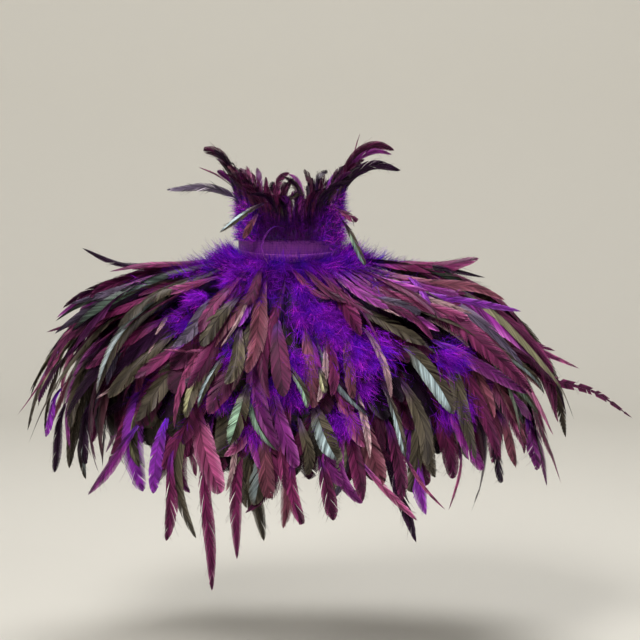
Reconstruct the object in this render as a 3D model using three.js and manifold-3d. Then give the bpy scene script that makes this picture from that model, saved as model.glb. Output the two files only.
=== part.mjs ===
// Feather shawl with a stand-up feather collar, worn round the neck and over the shoulders.
// A cloth yoke lies on the shoulders and opens down the front. Four rows of feathers are sewn round
// it like shingles, each row with a belt of down at its roots and lying over the next one down.
// A woven band closes round the neck and carries the collar's upright feathers, and a plain clasp
// joins its two ends at the front.
// Units are millimetres: +X is the wearer's right, +Y the wearer's front and +Z up.
// The origin is the centre of the neck opening, level with the yoke's neck edge at the shoulders.

import * as THREE from "three";
import Module from "manifold-3d";

const wasm = await Module();
wasm.setup();

// Driving dimensions
const FACETS = 32; // round the neck, from one front edge to the other
const YOKE_WALL = 2;
const SEAM_GAP = 0.4; // between pieces that are sewn together
const DRAPE_STEP = 57; // between the rings of the drape, along the slope
const ROW_PITCH = 48; // from one feather row to the next, along the slope
const QUILL_ROOT = 6; // from a row's upper edge to where its feathers are rooted
const ROOT_LIFT = 2; // of the roots above the yoke
const FRONT_GAP = 6; // half of the yoke's front opening
const VANE_THICK = 1.7;
const VANE_ROLL = 8; // degrees that a lock may turn about its own length
const LIE_SLOPE = 0.2; // how fast a row rises off the yoke, per millimetre of its length
const LIE_SLOPE_AT_SIDES = 0.17; // more of that over the shoulders
const REACH_AT_SIDES = 0.3; // how much longer the feathers over the shoulders are
const BAND_WALL = 1.6;
const BAND_TOP = 20;
const BAND_HALF_GAP = 1; // half of the gap between the band's two ends
const FOLD_HEIGHT = 7; // the stitched fold along the band's lower edge
const FOLD_THICK = 0.7;
const COLLAR_WALL = 3;
const COLLAR_WALL_TOP = 62;
const COLLAR_HALF_GAP = 14;
const COLLAR_FACE_BACK = 1.3; // how far the collar's loose feathers turn their faces to the back
const CLASP_WIDTH = 15;
const CLASP_HEIGHT = 14;
const CLASP_THICK = 1.4;
const CLASP_CORNER = 3;

// The drape: radius and height at the side, back and front for each step of run down from the neck.
const drape = [
  { side: 60, sideZ: 0, back: 56, backZ: -4, front: 58, frontZ: -10 },
  { side: 106, sideZ: -34, back: 84, backZ: -53, front: 90, frontZ: -57 },
  { side: 154, sideZ: -64, back: 108, backZ: -105, front: 114, frontZ: -109 },
  { side: 194, sideZ: -104, back: 122, backZ: -160, front: 124, frontZ: -165 },
  { side: 212, sideZ: -157, back: 129, backZ: -217, front: 129, frontZ: -222 },
  { side: 208, sideZ: -214, back: 131, backZ: -274, front: 132, frontZ: -279 },
  { side: 197, sideZ: -270, back: 132, backZ: -331, front: 133, frontZ: -336 },
  { side: 184, sideZ: -326, back: 132, backZ: -388, front: 133, frontZ: -393 },
];

// The feather rows, from the neck down. Each starts one pitch below the one before.
const rows = [
  { name: "feather_row_1", locks: 23, length: 150, width: 28 },
  { name: "feather_row_2", locks: 26, length: 153, width: 29 },
  { name: "feather_row_3", locks: 28, length: 150, width: 29 },
  { name: "feather_row_4", locks: 29, length: 130, width: 28 },
];

// A row's belt of down: how thick it stands at each run from the row's upper edge.
const downBelt = [
  { run: 0, thick: 2 },
  { run: 20, thick: 7.5 },
  { run: 47, thick: 2 },
];

// A lock's outline: its share of the full width at each share of its length.
const vane = [
  { along: 0, width: 0.4 },
  { along: 0.3, width: 0.84 },
  { along: 0.6, width: 1 },
  { along: 0.86, width: 0.66 },
  { along: 1, width: 0.06 },
];

// Loose feathers that leave a row part way along it and reach out to a tip of their own.
const strays = [
  { row: 0, azimuth: 178, leaves: 96, tipX: -239, tipY: -12, tipZ: 10, width: 10 },
  { row: 0, azimuth: 185, leaves: 90, tipX: -212, tipY: -40, tipZ: -14, width: 9 },
  { row: 0, azimuth: -3, leaves: 90, tipX: 214, tipY: -16, tipZ: -3, width: 17 },
  { row: 0, azimuth: 5, leaves: 90, tipX: 222, tipY: 12, tipZ: -22, width: 8 },
  { row: 1, azimuth: -5, leaves: 110, tipX: 388, tipY: -30, tipZ: -181, width: 9 },
  { row: 1, azimuth: 186, leaves: 110, tipX: -316, tipY: -36, tipZ: -184, width: 5 },
  { row: 3, azimuth: -113, leaves: 90, tipX: -81, tipY: -150, tipZ: -352, width: 16 },
  { row: 3, azimuth: -104, leaves: 90, tipX: -55, tipY: -155, tipZ: -316, width: 14 },
  { row: 3, azimuth: -61, leaves: 90, tipX: 125, tipY: -150, tipZ: -302, width: 15 },
];

// The collar's feathers: how far they rise above the band and how far they flare out.
const collarSweep = {
  side: { rise: 92, flare: 46 },
  back: { rise: 41, flare: 46 },
  front: { rise: 62, flare: 30 },
};
const collar = { locks: 20, root: 30, width: 20 };

// Feathers that flick out of the collar to a tip of their own.
const collarStrays = [
  { azimuth: 172, tipX: -97, tipY: 2, tipZ: 121, width: 15 },
  { azimuth: 189, tipX: -137, tipY: -26, tipZ: 76, width: 11 },
  { azimuth: -146, tipX: -79, tipY: -74, tipZ: 28, width: 8 },
  { azimuth: 8, tipX: 121, tipY: 4, tipZ: 122, width: 14 },
  { azimuth: -9, tipX: 126, tipY: -18, tipZ: 98, width: 12 },
  { azimuth: -33, tipX: 78, tipY: -52, tipZ: 38, width: 9 },
];

const finishes = {
  yoke: { color: 0x3a1450, roughness: 0.85 },
  band: { color: 0x6a2a86, roughness: 0.6 },
  down: { color: 0x4a1290, roughness: 0.95 },
  feathers: { color: 0x4b1a4a, roughness: 0.5 },
  clasp: { color: 0x26222a, roughness: 0.4, metalness: 0.6 },
};

const FULL_TURN = 2 * Math.PI;
const FRONT = Math.PI / 2;
const radians = THREE.MathUtils.degToRad;
const BACKWARD = new THREE.Vector3(0, -1, 0);

// An even spread of numbers from -1 to 1, the same at every run.
const wobble = (index, series) => ((index * 0.6180339887 + series * 0.7548776662) % 1) * 2 - 1;

// The three profiles of the drape, as smooth curves of radius and height.
const profileOf = (radius, height) =>
  new THREE.SplineCurve(drape.map((ring) => new THREE.Vector2(ring[radius], ring[height])));
const sideProfile = profileOf("side", "sideZ");
const backProfile = profileOf("back", "backZ");
const frontProfile = profileOf("front", "frontZ");
const RUN_END = DRAPE_STEP * (drape.length - 1);

// A point of the drape at an azimuth and a run down from the neck.
function drapePoint(azimuth, run) {
  const share = run / RUN_END;
  const side = sideProfile.getPoint(share);
  const middle = (Math.sin(azimuth) < 0 ? backProfile : frontProfile).getPoint(share);
  const height = side.y + (middle.y - side.y) * Math.sin(azimuth) ** 2;
  return new THREE.Vector3(side.x * Math.cos(azimuth), middle.x * Math.sin(azimuth), height);
}

// The drape's outward normal there.
function drapeNormal(azimuth, run) {
  const turn = 0.01;
  const step = 0.5;
  const across = drapePoint(azimuth + turn, run).sub(drapePoint(azimuth - turn, run));
  const down = drapePoint(azimuth, run + step).sub(drapePoint(azimuth, Math.max(0, run - step)));
  return down.cross(across).normalize();
}

// A point that stands off the drape along its normal.
function offDrape(azimuth, run, lift) {
  return drapePoint(azimuth, run).addScaledVector(drapeNormal(azimuth, run), lift);
}

// The azimuth at a share of the way from one front edge round the back to the other, at a run down
// from the neck. The front opening keeps its half width all the way down.
function azimuthAt(share, halfGap, run = 0) {
  const edge = Math.asin(halfGap / frontProfile.getPoint(run / RUN_END).x);
  return FRONT + edge + share * (FULL_TURN - 2 * edge);
}

// Even shares of the way round, one for each ring of a wall.
const sharesRound = Array.from({ length: FACETS + 1 }, (_, i) => i / FACETS);

// A closed solid through rings of equal length. Each ring runs anticlockwise seen from the last one,
// down one side and back up the other, so that its ends close with a strip of quads. The quads on
// the way back up are split the other way, so that both sides of a wall fold alike.
function loft(rings) {
  const size = rings[0].length;
  const faces = [];
  const quad = (a, b, c, d) => faces.push(a, b, c, a, c, d);
  for (let r = 0; r + 1 < rings.length; r++) {
    for (let j = 0; j < size; j++) {
      const next = (j + 1) % size;
      const [a, b, c, d] = [r * size + j, r * size + next, (r + 1) * size + next, (r + 1) * size + j];
      if (j < size / 2) quad(a, b, c, d);
      else quad(b, c, d, a);
    }
  }
  const last = (rings.length - 1) * size;
  for (let j = 0; j < size / 2 - 1; j++) {
    const [a, b, c, d] = [j, j + 1, size - 2 - j, size - 1 - j];
    quad(a, d, c, b);
    quad(last + a, last + b, last + c, last + d);
  }
  const points = rings.flat().flatMap((p) => p.toArray());
  return new THREE.BufferGeometry()
    .setAttribute("position", new THREE.Float32BufferAttribute(points, 3))
    .setIndex(faces);
}

// Joins closed geometries into one body.
function fuse(geometries) {
  const solids = geometries.map((g) => {
    const vertProperties = new Float32Array(g.getAttribute("position").array);
    const triVerts = new Uint32Array(g.getIndex().array);
    return new wasm.Manifold(new wasm.Mesh({ numProp: 3, vertProperties, triVerts }));
  });
  const joined = solids.reduce((whole, solid) => whole.add(solid)).getMesh();
  return new THREE.BufferGeometry()
    .setAttribute("position", new THREE.BufferAttribute(joined.vertProperties, 3))
    .setIndex(new THREE.BufferAttribute(joined.triVerts, 1));
}

// One lock of feather vane along a curve: a thin leaf with a ridge, its face turned to the normal.
function lockAlong(curve, width, normalAt, roll) {
  const rings = vane.map(({ along, width: share }) => {
    const centre = curve.getPoint(along);
    const ahead = curve.getTangent(along);
    const face = normalAt(along).applyAxisAngle(ahead, roll);
    const side = ahead.clone().cross(face).normalize();
    const ridge = side.clone().cross(ahead).normalize();
    const halfWidth = (share * width) / 2;
    const halfThick = (VANE_THICK / 2) * Math.min(1, 0.4 + share);
    return [
      centre.clone().addScaledVector(side, -halfWidth),
      centre.clone().addScaledVector(ridge, halfThick),
      centre.clone().addScaledVector(side, halfWidth),
      centre.clone().addScaledVector(ridge, -halfThick),
    ];
  });
  return loft(rings);
}

// How a row of feathers lies: a point of its layer, at a distance along a feather from its root.
const rowRun = (row) => row * ROW_PITCH;
function layerPoint(row, azimuth, along) {
  const slope = LIE_SLOPE + LIE_SLOPE_AT_SIDES * Math.cos(azimuth) ** 2;
  return offDrape(azimuth, rowRun(row) + QUILL_ROOT + along, ROOT_LIFT + slope * along);
}

// The runs at which a row's belt of down has its rings.
const beltRuns = (row) => downBelt.map(({ run }) => rowRun(row) + run);

// A point over the yoke at a share of the way round, at a run down from the neck.
function overYoke(share, run, lift) {
  return offDrape(azimuthAt(share, FRONT_GAP, run), run, lift);
}

// The cloth yoke: a shoulder-shaped wall with rings where each belt of down starts and swells, down
// to a hem under the last belt.
function yokeGeometry() {
  const runs = rows.flatMap((_, row) => beltRuns(row).slice(0, -1));
  const rings = sharesRound.map((share) => [
    ...runs.map((run) => overYoke(share, run, 0)),
    ...runs.toReversed().map((run) => overYoke(share, run, -YOKE_WALL)),
  ]);
  return loft(rings);
}

// The belt of down at a row's roots, lying on the yoke.
function downBeltGeometry(row) {
  const runs = beltRuns(row);
  const rings = sharesRound.map((share) => [
    ...runs.map((run, i) => overYoke(share, run, SEAM_GAP + downBelt[i].thick)),
    ...runs.toReversed().map((run) => overYoke(share, run, SEAM_GAP)),
  ]);
  return loft(rings);
}

// One feather lock of a row, lying in the row's layer and drifting a little to one side.
function rowLock(row, index) {
  const { locks, length, width } = rows[row];
  const share = (index + 0.5 + 0.25 * wobble(index, row)) / locks;
  const sideways = Math.cos(azimuthAt(share, FRONT_GAP)) ** 2;
  const reach = length * (1 + REACH_AT_SIDES * sideways + 0.1 * wobble(index, row + 5));
  const drift = radians(6 * wobble(index, row + 9));
  const azimuth = (along) => azimuthAt(share, FRONT_GAP, rowRun(row) + reach * along) + drift * along ** 2;
  const stations = vane.map(({ along }) => layerPoint(row, azimuth(along), reach * along));
  const curve = new THREE.CatmullRomCurve3(stations);
  const normalAt = (along) => drapeNormal(azimuth(along), rowRun(row) + reach * along);
  const breadth = width * (1 + 0.15 * wobble(index, row + 17));
  return lockAlong(curve, breadth, normalAt, radians(VANE_ROLL * wobble(index, row + 13)));
}

// A loose feather: it follows its row's layer, then leaves it for a tip of its own, its face turned
// half to the back.
function strayLock({ row, azimuth, leaves, tipX, tipY, tipZ, width }) {
  const angle = radians(azimuth);
  const route = [0, leaves / 2, leaves].map((along) => layerPoint(row, angle, along));
  const curve = new THREE.CatmullRomCurve3([...route, new THREE.Vector3(tipX, tipY, tipZ)]);
  const face = drapeNormal(angle, rowRun(row) + leaves).add(BACKWARD).normalize();
  return lockAlong(curve, width, () => face.clone(), 0);
}

// A row of feathers as one body.
function featherRowGeometry(row) {
  const locks = Array.from({ length: rows[row].locks }, (_, index) => rowLock(row, index));
  const loose = strays.filter((stray) => stray.row === row).map(strayLock);
  return fuse([downBeltGeometry(row), ...locks, ...loose]);
}

// A point near the neck opening's edge, moved out from it by a step, at a given height.
function roundNeck(azimuth, step, height) {
  const depth = Math.sin(azimuth) < 0 ? drape[0].back : drape[0].front;
  return new THREE.Vector3(
    (drape[0].side + step) * Math.cos(azimuth),
    (depth + step) * Math.sin(azimuth),
    height,
  );
}

// The woven neck band: a thin wall with a stitched fold along its lower edge, its two ends meeting
// at the front.
function bandGeometry() {
  const outer = -SEAM_GAP - FOLD_THICK;
  const inner = outer - BAND_WALL;
  const rings = sharesRound.map((share) => {
    const azimuth = azimuthAt(share, BAND_HALF_GAP);
    const bottom = drapePoint(azimuth, 0).z + SEAM_GAP;
    const fold = bottom + FOLD_HEIGHT;
    return [
      roundNeck(azimuth, outer, BAND_TOP),
      roundNeck(azimuth, outer, fold + FOLD_THICK),
      roundNeck(azimuth, outer + FOLD_THICK, fold),
      roundNeck(azimuth, outer + FOLD_THICK, bottom),
      roundNeck(azimuth, inner, bottom),
      roundNeck(azimuth, inner, fold),
      roundNeck(azimuth, inner, fold + FOLD_THICK),
      roundNeck(azimuth, inner, BAND_TOP),
    ];
  });
  return loft(rings);
}

// The collar's dense foot of quills and down: a wall that stands on the band, open at the front.
function collarWallGeometry() {
  const foot = BAND_TOP + SEAM_GAP;
  const rings = sharesRound.map((share) => {
    const azimuth = azimuthAt(share, COLLAR_HALF_GAP);
    return [
      roundNeck(azimuth, COLLAR_WALL, COLLAR_WALL_TOP),
      roundNeck(azimuth, 0, foot),
      roundNeck(azimuth, -COLLAR_WALL, foot),
      roundNeck(azimuth, 0, COLLAR_WALL_TOP),
    ];
  });
  return loft(rings);
}

// Where a collar feather's curve is, as a share of its length: upright at first, then curling out.
function collarPoint(azimuth, share) {
  const middle = Math.sin(azimuth) < 0 ? collarSweep.back : collarSweep.front;
  const weight = Math.sin(azimuth) ** 2;
  const rise = THREE.MathUtils.lerp(collarSweep.side.rise, middle.rise, weight);
  const flare = THREE.MathUtils.lerp(collarSweep.side.flare, middle.flare, weight);
  const up = 1 - (1 - share) ** 2;
  return roundNeck(azimuth, flare * share ** 2, collar.root + rise * up);
}

// The direction that a collar feather's face looks in: out from the neck.
const awayFromNeck = (azimuth) => new THREE.Vector3(Math.cos(azimuth), Math.sin(azimuth), 0);

// One upright feather lock of the collar.
function collarLock(index) {
  const share = (index + 0.5 + 0.2 * wobble(index, 21)) / collar.locks;
  const azimuth = azimuthAt(share, COLLAR_HALF_GAP);
  const reach = 1 + 0.1 * wobble(index, 23);
  const stations = vane.map(({ along }) => collarPoint(azimuth, along * reach));
  const curve = new THREE.CatmullRomCurve3(stations);
  const roll = radians(VANE_ROLL * wobble(index, 25));
  return lockAlong(curve, collar.width, () => awayFromNeck(azimuth), roll);
}

// A feather that flicks out of the collar, its face turned half to the back.
function collarStray({ azimuth, tipX, tipY, tipZ, width }) {
  const angle = radians(azimuth);
  const root = roundNeck(angle, 0, collar.root);
  const bend = roundNeck(angle, COLLAR_WALL, COLLAR_WALL_TOP);
  const curve = new THREE.QuadraticBezierCurve3(root, bend, new THREE.Vector3(tipX, tipY, tipZ));
  const face = awayFromNeck(angle).addScaledVector(BACKWARD, COLLAR_FACE_BACK).normalize();
  return lockAlong(curve, width, () => face.clone(), 0);
}

// The collar's feathers as one body.
function collarGeometry() {
  const locks = Array.from({ length: collar.locks }, (_, index) => collarLock(index));
  return fuse([collarWallGeometry(), ...locks, ...collarStrays.map(collarStray)]);
}

// The plain clasp plate that joins the band's ends, with rounded corners.
function claspGeometry() {
  const [w, h, c] = [CLASP_WIDTH / 2, CLASP_HEIGHT / 2, CLASP_CORNER];
  const plate = new THREE.Shape()
    .moveTo(c - w, -h)
    .lineTo(w - c, -h)
    .absarc(w - c, c - h, c, -FRONT, 0)
    .lineTo(w, h - c)
    .absarc(w - c, h - c, c, 0, FRONT)
    .lineTo(c - w, h)
    .absarc(c - w, h - c, c, FRONT, Math.PI)
    .lineTo(-w, c - h)
    .absarc(c - w, c - h, c, Math.PI, Math.PI + FRONT);
  return new THREE.ExtrudeGeometry(plate, { depth: CLASP_THICK, bevelEnabled: false, curveSegments: 4 });
}

function meshOf(name, geometry, finish) {
  const mesh = new THREE.Mesh(geometry, new THREE.MeshStandardMaterial(finish));
  mesh.name = name;
  return mesh;
}

const shawl = new THREE.Group();
shawl.add(meshOf("yoke", yokeGeometry(), finishes.yoke));
shawl.add(meshOf("collar_band", bandGeometry(), finishes.band));
shawl.add(meshOf("collar_feathers", collarGeometry(), finishes.down));
rows.forEach(({ name }, row) => shawl.add(meshOf(name, featherRowGeometry(row), finishes.feathers)));

const clasp = meshOf("front_clasp", claspGeometry(), finishes.clasp);
const aboveFold = drape[0].frontZ + SEAM_GAP + FOLD_HEIGHT + 2 * FOLD_THICK;
clasp.rotation.x = -FRONT;
clasp.position.set(0, drape[0].front - FOLD_THICK, aboveFold + CLASP_HEIGHT / 2);
shawl.add(clasp);

export default shawl;
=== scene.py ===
# %% [markdown]
# # A feather shawl with a stand-up collar
# The shawl is a cloth yoke with rows of dyed feathers sewn round it like shingles, a woven band
# round the neck, and a collar of feathers that stands up out of the band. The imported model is
# loaded first: its solids say where every layer lies, and nothing in it is moved. Each piece
# below then takes the place of one of those solids and keeps its form.

import bmesh
import bpy
import numpy as np
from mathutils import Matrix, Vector


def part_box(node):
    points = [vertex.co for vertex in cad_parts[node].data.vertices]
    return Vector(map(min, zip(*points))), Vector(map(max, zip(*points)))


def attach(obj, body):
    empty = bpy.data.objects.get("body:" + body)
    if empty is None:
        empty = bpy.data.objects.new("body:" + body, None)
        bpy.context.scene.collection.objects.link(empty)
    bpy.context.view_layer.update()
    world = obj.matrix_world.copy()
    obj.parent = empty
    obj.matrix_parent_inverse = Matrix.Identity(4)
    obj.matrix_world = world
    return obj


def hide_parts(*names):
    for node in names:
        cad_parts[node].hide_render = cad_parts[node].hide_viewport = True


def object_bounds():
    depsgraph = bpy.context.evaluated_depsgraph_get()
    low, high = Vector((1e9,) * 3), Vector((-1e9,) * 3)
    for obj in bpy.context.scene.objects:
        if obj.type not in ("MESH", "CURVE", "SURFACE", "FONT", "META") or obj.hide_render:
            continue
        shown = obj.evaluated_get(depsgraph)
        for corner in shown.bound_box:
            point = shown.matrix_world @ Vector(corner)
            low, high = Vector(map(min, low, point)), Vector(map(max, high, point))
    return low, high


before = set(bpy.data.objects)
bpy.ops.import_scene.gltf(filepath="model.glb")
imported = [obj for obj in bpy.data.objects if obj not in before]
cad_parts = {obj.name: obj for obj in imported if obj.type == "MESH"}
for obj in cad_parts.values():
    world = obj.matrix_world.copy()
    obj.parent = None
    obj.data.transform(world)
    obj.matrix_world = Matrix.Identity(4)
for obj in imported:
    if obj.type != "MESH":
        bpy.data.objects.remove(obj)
cad_box = [list(corner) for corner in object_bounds()]
MM = 0.001
rng = np.random.default_rng(11)
print("nodes:", sorted(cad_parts))

# %% [markdown]
# ## Where the layers lie
# Everything on the shawl follows the same smooth shoulder shape, the drape. It is stated as a short
# table of rings, from the neck down, and a spline joins the rings. A point of the drape is found
# from an azimuth round the neck and a run down the slope, so a feather is just a path in those two
# numbers with some height above the cloth. Working this way keeps every feather on its layer from
# any side, which placing feathers by eye would not.

# %% The drape table
DRAPE_STEP = 57 * MM
SIDE, SIDE_Z, BACK, BACK_Z, FORE, FORE_Z = range(6)
DRAPE = MM * np.array([
    [60, 0, 56, -4, 58, -10],
    [106, -34, 84, -53, 90, -57],
    [154, -64, 108, -105, 114, -109],
    [194, -104, 122, -160, 124, -165],
    [212, -157, 129, -217, 129, -222],
    [208, -214, 131, -274, 132, -279],
    [197, -270, 132, -331, 133, -336],
    [184, -326, 132, -388, 133, -393],
])


def profile(column, run):
    """One column of the drape table at a run down the slope, on a smooth curve."""
    last = len(DRAPE) - 1
    place = np.clip(run / DRAPE_STEP, 0, last)
    i = np.minimum(place.astype(int), last - 1)
    w = place - i
    before, here = DRAPE[np.maximum(i - 1, 0), column], DRAPE[i, column]
    there, after = DRAPE[i + 1, column], DRAPE[np.minimum(i + 2, last), column]
    leave, arrive = (there - before) / 2, (after - here) / 2
    cubic = 2 * here - 2 * there + leave + arrive
    square = 3 * there - 3 * here - 2 * leave - arrive
    return ((cubic * w + square) * w + leave) * w + here


def drape_point(azimuth, run):
    """A point of the drape, at an azimuth round the neck and a run down the slope."""
    azimuth, run = np.broadcast_arrays(azimuth, run)
    at_back = np.sin(azimuth) < 0
    depth = np.where(at_back, profile(BACK, run), profile(FORE, run))
    middle_z = np.where(at_back, profile(BACK_Z, run), profile(FORE_Z, run))
    side_z = profile(SIDE_Z, run)
    height = side_z + (middle_z - side_z) * np.sin(azimuth) ** 2
    return np.stack([profile(SIDE, run) * np.cos(azimuth), depth * np.sin(azimuth), height], axis=-1)


def unit(vectors):
    """The same directions, each with a length of 1."""
    return vectors / np.maximum(np.linalg.norm(vectors, axis=-1, keepdims=True), 1e-12)


def drape_normal(azimuth, run):
    """The direction that points away from the cloth, at a point of the drape."""
    turn, step = 0.01, 0.5 * MM
    across = drape_point(azimuth + turn, run) - drape_point(azimuth - turn, run)
    down = drape_point(azimuth, run + step) - drape_point(azimuth, np.maximum(run - step, 0))
    return unit(np.cross(down, across))


print("neck ring is", np.round(drape_point(np.array([0, np.pi / 2]), np.zeros(2)) / MM).tolist(), "mm")

# %% The rows' layers over the drape
ROW_PITCH = 48 * MM
QUILL_ROOT = 6 * MM
ROOT_LIFT = 2 * MM
FRONT_GAP = 6 * MM
LIE_SLOPE = 0.2
LIE_SLOPE_AT_SIDES = 0.17


def azimuth_at(share, half_gap, run):
    """The azimuth at a share of the way from one front edge round the back to the other."""
    edge = np.arcsin(half_gap / profile(FORE, run))
    return np.pi / 2 + edge + share * (2 * np.pi - 2 * edge)


def slope_run(row, along):
    """How far down the slope a place lies, at a distance along a row's feathers."""
    return row * ROW_PITCH + QUILL_ROOT + along


def layer_point(row, azimuth, along, extra=0.0):
    """A point of a feather row's layer, at a distance along a feather from its root."""
    slope = LIE_SLOPE + LIE_SLOPE_AT_SIDES * np.cos(azimuth) ** 2
    run = slope_run(row, along)
    lift = ROOT_LIFT + slope * along + extra
    return drape_point(azimuth, run) + drape_normal(azimuth, run) * lift[..., None]


print("row 4 starts", round(3 * ROW_PITCH / MM), "mm down the slope")

# %% [markdown]
# ## Where the picture shows things
# The camera stands where the picture was taken from. Its numbers come first, because the feathers
# that catch the eye are placed by the pixels where their two ends are seen. A pixel alone is only a line
# of sight, so each end is put where that line meets the layer of the feather's row: it then lies
# on the shawl from every side. The place is found by looking through a grid of the layer's points.

# %% The picture's view
PICTURE_SIZE = 640
CAMERA_DISTANCE = 1.8
CAMERA_ELEVATION = np.radians(5)
FRAME_WIDTH = 0.73
LOOK_AT = np.array([0.034, 0, -0.073])
VIEW_BACK = np.array([0, -np.cos(CAMERA_ELEVATION), np.sin(CAMERA_ELEVATION)])
VIEW_RIGHT = np.array([1.0, 0, 0])
VIEW_UP = np.cross(VIEW_BACK, VIEW_RIGHT)
EYE = LOOK_AT + VIEW_BACK * CAMERA_DISTANCE


def in_picture(points):
    """The pixels at which points are seen."""
    seen = points - EYE
    scale = PICTURE_SIZE * CAMERA_DISTANCE / FRAME_WIDTH / -(seen @ VIEW_BACK)
    return PICTURE_SIZE / 2 + np.stack([seen @ VIEW_RIGHT * scale, -(seen @ VIEW_UP) * scale], axis=-1)


def sight_point(pixel_x, pixel_y, depth):
    """The point that is seen at a pixel and lies at a given y, in millimetres."""
    right, down = (np.array([pixel_x, pixel_y]) - PICTURE_SIZE / 2) * FRAME_WIDTH / PICTURE_SIZE
    sight = VIEW_RIGHT * right - VIEW_UP * down - VIEW_BACK * CAMERA_DISTANCE
    return EYE + sight * (depth * MM - EYE[1]) / sight[1]


print("the origin is seen at", np.round(in_picture(np.zeros(3))).tolist())

# %% Pixels to places on a layer
ROW_COUNT = 4
HIDDEN_COST = 25
SEARCH_TURNS = np.radians(np.arange(-200, 20.5, 0.5))
SEARCH_RUNS = np.arange(0, 215) * MM
SEARCH_AZIMUTHS, SEARCH_ALONG = np.meshgrid(SEARCH_TURNS, SEARCH_RUNS, indexing="ij")


def layer_in_picture(row):
    """Where a row's layer is seen, and the cost of choosing a place that faces away."""
    points = layer_point(row, SEARCH_AZIMUTHS, SEARCH_ALONG)
    outward = drape_normal(SEARCH_AZIMUTHS, slope_run(row, SEARCH_ALONG))
    facing = (outward * (EYE - points)).sum(axis=-1) > 0
    return in_picture(points), np.where(facing, 0, HIDDEN_COST)


LAYERS_SEEN = [layer_in_picture(row) for row in range(ROW_COUNT)]


def find_on_layer(row, pixel_x, pixel_y):
    """The azimuth and the distance along the feathers at which a row's layer is seen at a pixel."""
    seen, cost = LAYERS_SEEN[row]
    best = np.argmin(np.linalg.norm(seen - np.array([pixel_x, pixel_y]), axis=-1) + cost)
    return SEARCH_AZIMUTHS.flat[best], SEARCH_ALONG.flat[best]


print("pixel 290, 400 on row 3:", np.round(find_on_layer(2, 290, 400), 3).tolist())

# %% [markdown]
# ## Colours and materials
# Dyed rooster feathers keep some of their own dark iridescence under the dye, so neighbours differ:
# plum, rose, magenta, violet, olive black and slate. A single material can show them all when each
# point of the mesh carries its own dye colour, which is painted in when the feathers are made.
# The same dye also carries painted light: a sheen on one vane of some feathers, a highlight on the
# rims, which are partly a paler edge too, and one vane lighter than the other. The material then adds
# what every feather shares: fine streaks along the barbs, and a gloss that is stronger on the dark ones.

# %% Colour helpers
def linear(red, green, blue):
    """A colour given as 0 to 255 screen values, as the linear numbers that shaders use."""
    c = np.array([red, green, blue]) / 255
    return np.where(c <= 0.04045, c / 12.92, ((c + 0.055) / 1.055) ** 2.4)


def new_material(name):
    material = bpy.data.materials.new(name)
    material.use_nodes = True
    tree = material.node_tree
    return material, tree, tree.nodes["Principled BSDF"]


def set_inputs(node, values):
    """Sets constants on a node's sockets, each given by its name or number."""
    for socket, value in values.items():
        node.inputs[socket].default_value = value


def add_node(tree, kind, inputs=None, **settings):
    """Adds a node, with its own settings and the constants on its sockets."""
    made = tree.nodes.new(kind)
    for key, value in settings.items():
        setattr(made, key, value)
    set_inputs(made, inputs or {})
    return made


def drawn_out_noise(tree, place, scale, detail, roughness=0.5):
    """Noise that can be drawn out along one direction, for streaks in a dye or in brushed metal."""
    stretch = add_node(tree, "ShaderNodeMapping", {"Scale": scale})
    noise = add_node(tree, "ShaderNodeTexNoise", {"Scale": 1.0, "Detail": detail, "Roughness": roughness})
    tree.links.new(place, stretch.inputs["Vector"])
    tree.links.new(stretch.outputs["Vector"], noise.inputs["Vector"])
    return noise.outputs["Fac"]


def colour_between(tree, value, dark, light, low=0.0, high=1.0):
    """A colour that goes from dark to light while a value goes from low to high."""
    ramp = add_node(tree, "ShaderNodeValToRGB")
    for element, place, colour in zip(ramp.color_ramp.elements, (low, high), (dark, light)):
        element.position = place
        element.color = (*colour, 1)
    tree.links.new(value, ramp.inputs["Fac"])
    return ramp.outputs["Color"]


def add_bump(tree, shader, height, strength, distance):
    """Lets a value raise the surface a little in the shading."""
    bump = add_node(tree, "ShaderNodeBump", {"Strength": strength, "Distance": distance})
    tree.links.new(height, bump.inputs["Height"])
    tree.links.new(bump.outputs["Normal"], shader.inputs["Normal"])


print("violet is", np.round(linear(100, 20, 190), 3).tolist())

# %% Feather vane material
STREAK_STRETCH = (160, 9, 1)
STREAK_TONES = {"From Min": 0.36, "From Max": 0.64, "To Min": 0.12, "To Max": 2.1}
GLOSS_GAIN = (4.5, 4.5, 4.5)
GLOSS_BASE = (0.2, 0.17, 0.2)
VANE_SHEEN = (*linear(236, 170, 226), 1)


def vane_material():
    """The dye of each point, streaked along the barbs, with a gloss that takes up its hue."""
    material, tree, shader = new_material("feather_vane")
    link = tree.links.new
    dye = add_node(tree, "ShaderNodeVertexColor", layer_name="dye").outputs["Color"]
    barb = add_node(tree, "ShaderNodeUVMap", uv_map="barb").outputs["UV"]
    streaks = drawn_out_noise(tree, barb, STREAK_STRETCH, 4.0, 0.72)
    tone = add_node(tree, "ShaderNodeMapRange", STREAK_TONES)
    link(streaks, tone.inputs["Value"])
    tinted = add_node(tree, "ShaderNodeVectorMath", operation="SCALE")
    link(dye, tinted.inputs[0])
    link(tone.outputs["Result"], tinted.inputs["Scale"])
    link(tinted.outputs["Vector"], shader.inputs["Base Color"])
    matt = add_node(tree, "ShaderNodeAttribute", attribute_name="matt")
    link(matt.outputs["Fac"], shader.inputs["Roughness"])
    add_bump(tree, shader, streaks, 0.35, 0.6 * MM)
    gloss = add_node(tree, "ShaderNodeVectorMath", {1: GLOSS_GAIN, 2: GLOSS_BASE}, operation="MULTIPLY_ADD")
    link(dye, gloss.inputs[0])
    link(gloss.outputs["Vector"], shader.inputs["Specular Tint"])
    set_inputs(shader, {"Specular IOR Level": 0.55, "Sheen Weight": 0.03, "Sheen Roughness": 0.35})
    set_inputs(shader, {"Sheen Tint": VANE_SHEEN})
    return material


VANE = vane_material()
print("made", VANE.name)

# %% Down material
DOWN_SHEEN = (*linear(150, 50, 255), 1)


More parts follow.
